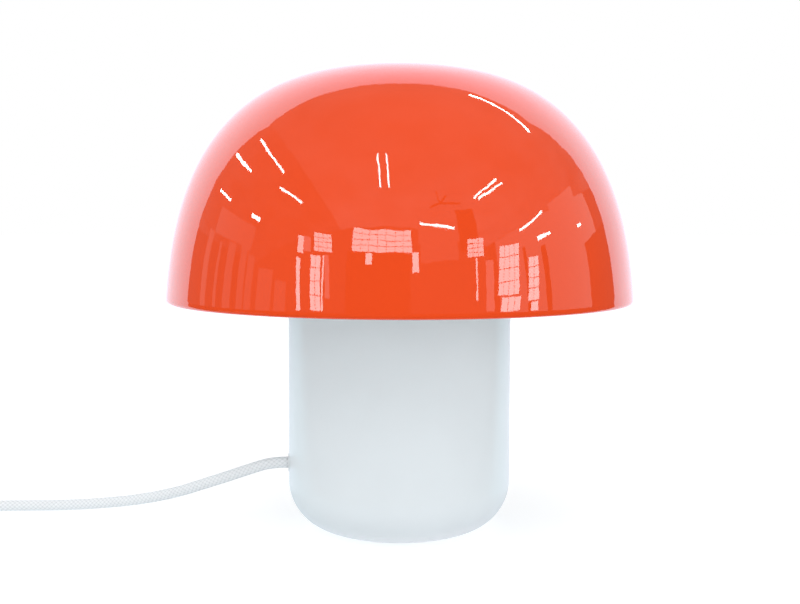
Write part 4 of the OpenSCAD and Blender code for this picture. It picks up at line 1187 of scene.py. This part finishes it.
pin_profile = rounded([(0, -12, 0), (PIN_R * 0.65, -12, 0.1), (PIN_R * 0.65, SLEEVE_L, 0),
                       (PIN_R, SLEEVE_L, 0.12), (PIN_R, PIN_L, 1.25), (0, PIN_L, 0)], 8)
sleeve_profile = rounded([(SHANK_R, 0.0, 0), (SLEEVE_R, 0.0, 0.1), (SLEEVE_R, SLEEVE_L, 0.15),
                          (SHANK_R, SLEEVE_L, 0.1)], 4)
contact_pins = paired("contact_pins", pin_profile, nickel)
wear(contact_pins, "base", "plug_pins")
pin_sleeves = paired("pin_sleeves", sleeve_profile, sleeve_plastic)
wear(pin_sleeves, "base", "plug_pin_sleeves")

# Studio: a pale floor, a plain white surround, and the panels and tubes that the gloss mirrors
world = bpy.data.worlds.new("world")
bpy.context.scene.world = world
wt = Tree(world)
paths = wt.node("LightPath").outputs
light_fill = wt.first("Background", {"Color": (0.97, 0.985, 1.0, 1.0), "Strength": 0.875})
room_dim = wt.first("Background", {"Color": (1.0, 0.97, 0.95, 1.0), "Strength": 0.3})
plain_white = wt.first("Background", {"Color": (1.0, 1.0, 1.0, 1.0), "Strength": 1.0})
mirrored = wt.mix_shader(paths["Is Glossy Ray"], light_fill, room_dim)
seen = wt.most(paths["Is Camera Ray"], paths["Is Transmission Ray"])
wt.finish(wt.mix_shader(seen, mirrored, plain_white), "OutputWorld")

WARM_WHITE = (1.0, 0.97, 0.95)
ROOM = 20.0
ROOM_CENTRE = Vector((0, 0, 0.17))
ROOM_TURN = math.radians(101.5)
ROOM_U = Vector((math.sin(ROOM_TURN), math.cos(ROOM_TURN), 0)) * ROOM
ROOM_V = Vector((-math.cos(ROOM_TURN), math.sin(ROOM_TURN), 0)) * ROOM
ROOM_UP = Vector((0, 0, ROOM))


def direction(azimuth, elevation):
    """A direction in the room. Azimuth 0 is behind the lamp and 90 to its right."""
    a, e = math.radians(azimuth), math.radians(elevation)
    return Vector((math.sin(a) * math.cos(e), math.cos(a) * math.cos(e), math.sin(e)))


def strip(azimuth_1, elevation_1, azimuth_2, elevation_2, width):
    """A bar between two directions, with its width in degrees."""
    a = direction(azimuth_1, elevation_1) * ROOM
    b = direction(azimuth_2, elevation_2) * ROOM
    across = (b - a).cross(a + b).normalized() * (ROOM * math.radians(width) / 2)
    return [ROOM_CENTRE + p for p in (a - across, b - across, b + across, a + across)]


def panel(azimuth_1, azimuth_2, low, high, distance=1.1, skew=0.0):
    """An upright panel between two azimuths and two elevations, at a distance in ROOM.

    Its foot may lie skew degrees further on.
    """
    found = []
    for azimuth, elevation in ((azimuth_1 + skew, low), (azimuth_2 + skew, low), (azimuth_2, high),
                               (azimuth_1, high)):
        flat = direction(azimuth, 0) * (ROOM * distance)
        height = ROOM * distance * math.tan(math.radians(elevation))
        found.append(ROOM_CENTRE + flat + Vector((0, 0, height)))
    return found


def panes(azimuth_1, azimuth_2, low, high, columns, rows, bar=0.18, skew=0.0):
    """A window of small panes, with bars of a width in degrees."""
    wide = (azimuth_2 - azimuth_1) / columns
    tall = (high - low) / rows
    found = []
    for j in range(rows):
        start = azimuth_1 + skew * (rows - 1 - j) / rows
        foot, head = low + tall * j + bar / 2, low + tall * (j + 1) - bar / 2
        found += [panel(start + wide * i + bar / 2, start + wide * (i + 1) - bar / 2, foot, head,
                        skew=skew / rows) for i in range(columns)]
    return found


def room_point(u, v, height):
    """A point of the room, whose walls are turned from the lamp's axes. Sizes are in ROOM."""
    return ROOM_CENTRE + ROOM_U * u + ROOM_V * v + ROOM_UP * height


def room_wall(u1, v1, u2, v2, low, high):
    corners = ((u1, v1, low), (u2, v2, low), (u2, v2, high), (u1, v1, high))
    return [room_point(*corner) for corner in corners]


def room_level(u1, u2, v1, v2, height):
    return [room_point(u, v, height) for u, v in ((u1, v1), (u2, v1), (u2, v2), (u1, v2))]


def room_quads(name, quads, material):
    """Panels that only the gloss mirrors. Each is four points in metres."""
    verts = [p / MM for q in quads for p in q]
    faces = [tuple(range(i * 4, i * 4 + 4)) for i in range(len(quads))]
    piece = mesh_piece(name, verts, faces, [material], smooth=False)
    for what in ("camera", "diffuse", "transmission", "shadow", "volume_scatter"):
        setattr(piece, "visible_" + what, False)


def glowing(name, quads, colour, strength):
    """Room panels of one colour and level."""
    t = new_tree(name + "_glow")
    room_quads(name, quads, t.finish(t.glow(colour + (1.0,), strength)))


# The white sheet behind the lamp, which overexposes: bright at its sides and dimmer in the middle
BACK = 4.0
SHEET_DIM = 1.7
SHEET_BRIGHT = 2.1
SHEET_MIDDLE = (0.90, 0.85, 1.0, 1.0)
SHEET_SIDE = (0.60, 0.88, 1.0, 1.0)
SHEET_LEFT = -1.42
SHEET_RIGHT = 1.96
SHEET_CENTRE = 0.7
SHEET_NEAR = 0.5
SHEET_FAR = 4.5


def sheet_light(t, across):
    """Colour and level of the sheet's glow at a place along it, in metres."""
    reach = t.maths("ABSOLUTE", t.less(across, SHEET_CENTRE))
    level = t.spread(reach, SHEET_DIM, SHEET_BRIGHT, SHEET_NEAR, SHEET_FAR)
    return t.between(reach, SHEET_MIDDLE, SHEET_SIDE, SHEET_NEAR, SHEET_FAR), level


def on_back(points, nearer=0.0):
    """Points on the plane behind the lamp. Sizes are in BACK."""
    return [ROOM_CENTRE + Vector((x * BACK, BACK - nearer, z * BACK)) for x, z in points]


st = new_tree("sheet_glow")
st_place = st.axes()
st_colour, st_level = sheet_light(st, st_place["X"])
st_fade = st.spread(st_place["Z"], 1.02, 1.15, 1.0, 3.0)
room_quads("room_sheet", [on_back([(SHEET_LEFT, -1.2), (SHEET_RIGHT, -1.2), (SHEET_RIGHT, 2.14),
                                   (SHEET_LEFT, 1.68)])],
           st.finish(st.glow(st_colour, st.times(st_level, st_fade))))
glowing("room_hem", [on_back([(-1.0, 1.71), (0.5, 1.89), (0.5, 1.875), (-1.0, 1.695)], 0.02)],
        (1.0, 0.8, 0.8), 0.55)

# Ceiling tubes and the fan: azimuth and elevation of both ends, and the width, in degrees
TUBES = [(-62, 40.5, -100, 39, 0.8), (-56, 31, -77, 32.7, 0.8), (-103, 33.3, -120, 30.6, 0.8),
         (-62, 21.6, -74, 22.1, 0.6), (-93, 22, -99, 21.5, 1.2), (-157, 58, -163, 41.2, 0.8),
         (-164, 58, -168, 41, 0.8), (42, 59.3, 73, 44.8, 1.3), (145, 34.5, 127, 39.4, 0.8),
         (142, 34, 124, 37.6, 0.8), (176, 27, 159, 24.6, 0.9), (124, 20.6, 107, 23.6, 0.7),
         (115, 17, 106, 17.4, 0.9), (86.5, 15.4, 83, 15.2, 0.6)]
FAN = [(166, 39.5, 164.5, 34.5, 0.5), (170, 32.5, 164.5, 34, 0.9), (164.5, 34, 153, 33.2, 0.9),
       (164.5, 34, 160, 37, 0.8)]
glowing("room_tubes", [strip(*tube) for tube in TUBES], (1.0, 0.98, 1.0), 26.0)

# Windows, doors and walls: two azimuths and two elevations, in degrees
glowing("room_panes",
        panes(-140, -131, 16.5, 22.2, 4, 4, skew=-1.5) + [panel(-126, -123, 15.4, 20.2, skew=-1)]
        + panes(-180, -151, 17.6, 25, 7, 4) + panes(144.3, 153, 15.2, 20.7, 3, 4, skew=1),
        (1.0, 0.96, 0.98), 9.0)
glowing("room_daylight",
        panes(-136, -131, 2.7, 15.5, 2, 4, skew=-2)
        + [panel(-138, -137.2, 2.8, 15.8, skew=-1), panel(-126, -124, 2.3, 14.3, skew=-2),
           panel(177, 180, 12.3, 17.9), panel(-161, -158, 14.3, 17.3), panel(149, 149.7, 5, 15, skew=1),
           panel(119, 123, 1.6, 3.4)]
        + panes(126, 137, 5.3, 17.3, 4, 4, 0.2, 3) + panes(128, 138, 2.1, 5, 3, 1, 0.2, 1)
        + panes(116, 122, 3.7, 12.9, 2, 4, 0.2, 2.5), (1.0, 0.97, 1.0), 10.0)
glowing("room_half_lit", [panel(-130, -126, 16, 20.6, skew=-1), panel(-140, -138, 5.5, 15.9, skew=-2),
                          panel(141, 145, 2.6, 14, skew=1)], WARM_WHITE, 1.9)
glowing("room_bright_walls",
        [panel(81, 105, -2, 15, 1.2, 7), panel(75, 103, 15, 20, 1.2, 4), panel(80, 102, 20, 25, 1.2, 2),
         room_wall(2.3, -1.75, 2.3, 1.3, -0.3, 0.99)], WARM_WHITE, 1.25)
glowing("room_dark_bays",
        [panel(-179, -149, -4, 17.5, 1.3), panel(60, 84, -4, 11, 1.15), panel(111, 114, -4, 15),
         panel(123, 124.5, -4, 16), panel(147, 157, 17, 31, 1.15)] + [strip(*blade) for blade in FAN],
        (1.0, 0.95, 0.9), 0.22)
STREAKS = [(-112, -104, -5, 10), (-101, -97, -5, 12), (-96, -92, -5, 14), (-88, -83, -5, 13),
           (-78, -76, -5, 12), (-70, -66, -5, 13), (-98, -70, 13, 19), (-120, -114, -5, 8),
           (149, 177, 20, 27, 1.3), (158, 176, 15, 27, 1.31)]
glowing("room_streaks", [panel(*streak) for streak in STREAKS], (1.0, 0.95, 0.92), 0.85)
glowing("room_walls", [room_wall(-8, -2.04, 2.3, -2.04, -0.3, 1.0)], (1.0, 0.96, 0.94), 0.38)


def ceiling_material(name, near, far):
    """A blotchy ceiling whose level goes from near to far along -Y."""
    t = new_tree(name)
    blotch = t.spread(t.noise(0.12), 0.85, 1.15)
    level = t.spread(t.axes()["Y"], near, far, 12.0, -30.0)
    return t.finish(t.glow(WARM_WHITE + (1.0,), t.times(level, blotch)))


room_quads("room_ceiling", [room_level(-0.91, 2.31, -2.04, 3.0, 1.0)],
           ceiling_material("ceiling_glow", 0.5, 0.95))
room_quads("room_far_ceiling", [room_level(-5, -0.91, -5, 3.0, 1.01)],
           ceiling_material("far_ceiling_glow", 0.42, 0.5))

# Floor: plain paper to the camera. The gloss mirrors the sheet as it runs out in front of the wall
FLOOR_HALF = 9000.0
FLOOR_DROP = -0.15
FLOOR_LIFT = 0.31
FLOOR_DIM = 0.2
NEAR_LAMP = 0.115
NEAR_SHADOW = 0.65
LEFT_SHIFT = -0.17
RIGHT_SHIFT = -0.2
CONTACT = 0.012
ft = new_tree("floor_paint")
floor_paths = ft.node("LightPath").outputs
tone = ft.between(ft.noise(3.0), (0.93, 0.933, 0.936, 1.0), (0.95, 0.953, 0.956, 1.0))
direct = ft.most(floor_paths["Is Camera Ray"], floor_paths["Is Transmission Ray"])
lift_glow = ft.glow((1.0, 1.0, 1.0, 1.0), ft.times(direct, FLOOR_LIFT))
plain_paper = ft.first("AddShader", {0: ft.first("BsdfDiffuse", {"Color": tone}), 1: lift_glow})
spot = ft.axes()
left_edge = ft.maths("ADD", spot["X"], ft.times(spot["Y"], -SHEET_LEFT))
right_edge = ft.less(ft.times(spot["Y"], SHEET_RIGHT), spot["X"])
on_sheet = ft.times(ft.maths("GREATER_THAN", left_edge, LEFT_SHIFT),
                    ft.maths("GREATER_THAN", right_edge, RIGHT_SHIFT))
from_lamp = ft.node("VectorMath", {0: ft.place()}, operation="LENGTH").outputs["Value"]
near_lamp = ft.maths("LESS_THAN", from_lamp, NEAR_LAMP)
white_part = ft.most(on_sheet, near_lamp)
ahead = ft.most(ft.maths("ADD", spot["Y"], 0.1), 0.1)
ft_colour, ft_level = sheet_light(ft, ft.times(ft.maths("DIVIDE", spot["X"], ahead), BACK))
# Painted shadow: under the lamp, the mirrored floor is turned down below the sheet's level.
sheet_level = ft.times(ft_level, ft.spread(near_lamp, 1.0, NEAR_SHADOW, 0.0, 1.0))
# Off the sheet the mirrored floor glows only at FLOOR_DIM. This is the room's dark floor, and close in
# front of the lamp it is also a painted shadow of the shade.
mirrored_floor = ft.glow(ft.blend(white_part, (1.0, 0.95, 0.92, 1.0), ft_colour),
                         ft.choose(white_part, FLOOR_DIM, sheet_level))
paper_white = ft.mix_shader(floor_paths["Is Glossy Ray"], plain_paper, mirrored_floor)
# Seen from below the floor is clear, and it doesn't darken what stands right on it
close_by = ft.maths("LESS_THAN", floor_paths["Ray Length"], CONTACT)
under = ft.most(ft.node("NewGeometry").outputs["Backfacing"],
                ft.times(floor_paths["Is Diffuse Ray"], close_by))
floor_paint = ft.finish(ft.mix_shader(under, paper_white, ft.first("BsdfTransparent")))
floor_corners = [(x, y, FLOOR_DROP) for x, y in ((-FLOOR_HALF, -FLOOR_HALF), (FLOOR_HALF, -FLOOR_HALF),
                                                 (FLOOR_HALF, FLOOR_HALF), (-FLOOR_HALF, FLOOR_HALF))]
floor = mesh_piece("floor", floor_corners, [(0, 1, 2, 3)], [floor_paint], smooth=False)


LIGHT_TARGET = Vector((0, 0, 0.12))


def soft_light(name, location, size, power):
    """A square lamp that looks at the lamp's middle and isn't mirrored."""
    data = bpy.data.lights.new(name, "AREA")
    data.shape = "SQUARE"
    data.size = size
    data.energy = power
    lamp = bpy.data.objects.new(name, data)
    lamp.location = location
    aim = LIGHT_TARGET - Vector(location)
    lamp.rotation_euler = aim.to_track_quat("-Z", "Y").to_euler()
    lamp.visible_glossy = False
    lamp.visible_camera = False
    bpy.context.scene.collection.objects.link(lamp)


soft_light("key", (-0.7, -1.7, 2.5), 2.4, 18.0)
soft_light("front", (0.4, -2.4, 0.35), 1.4, 6.0)

bpy.context.scene.view_settings.view_transform = "Standard"
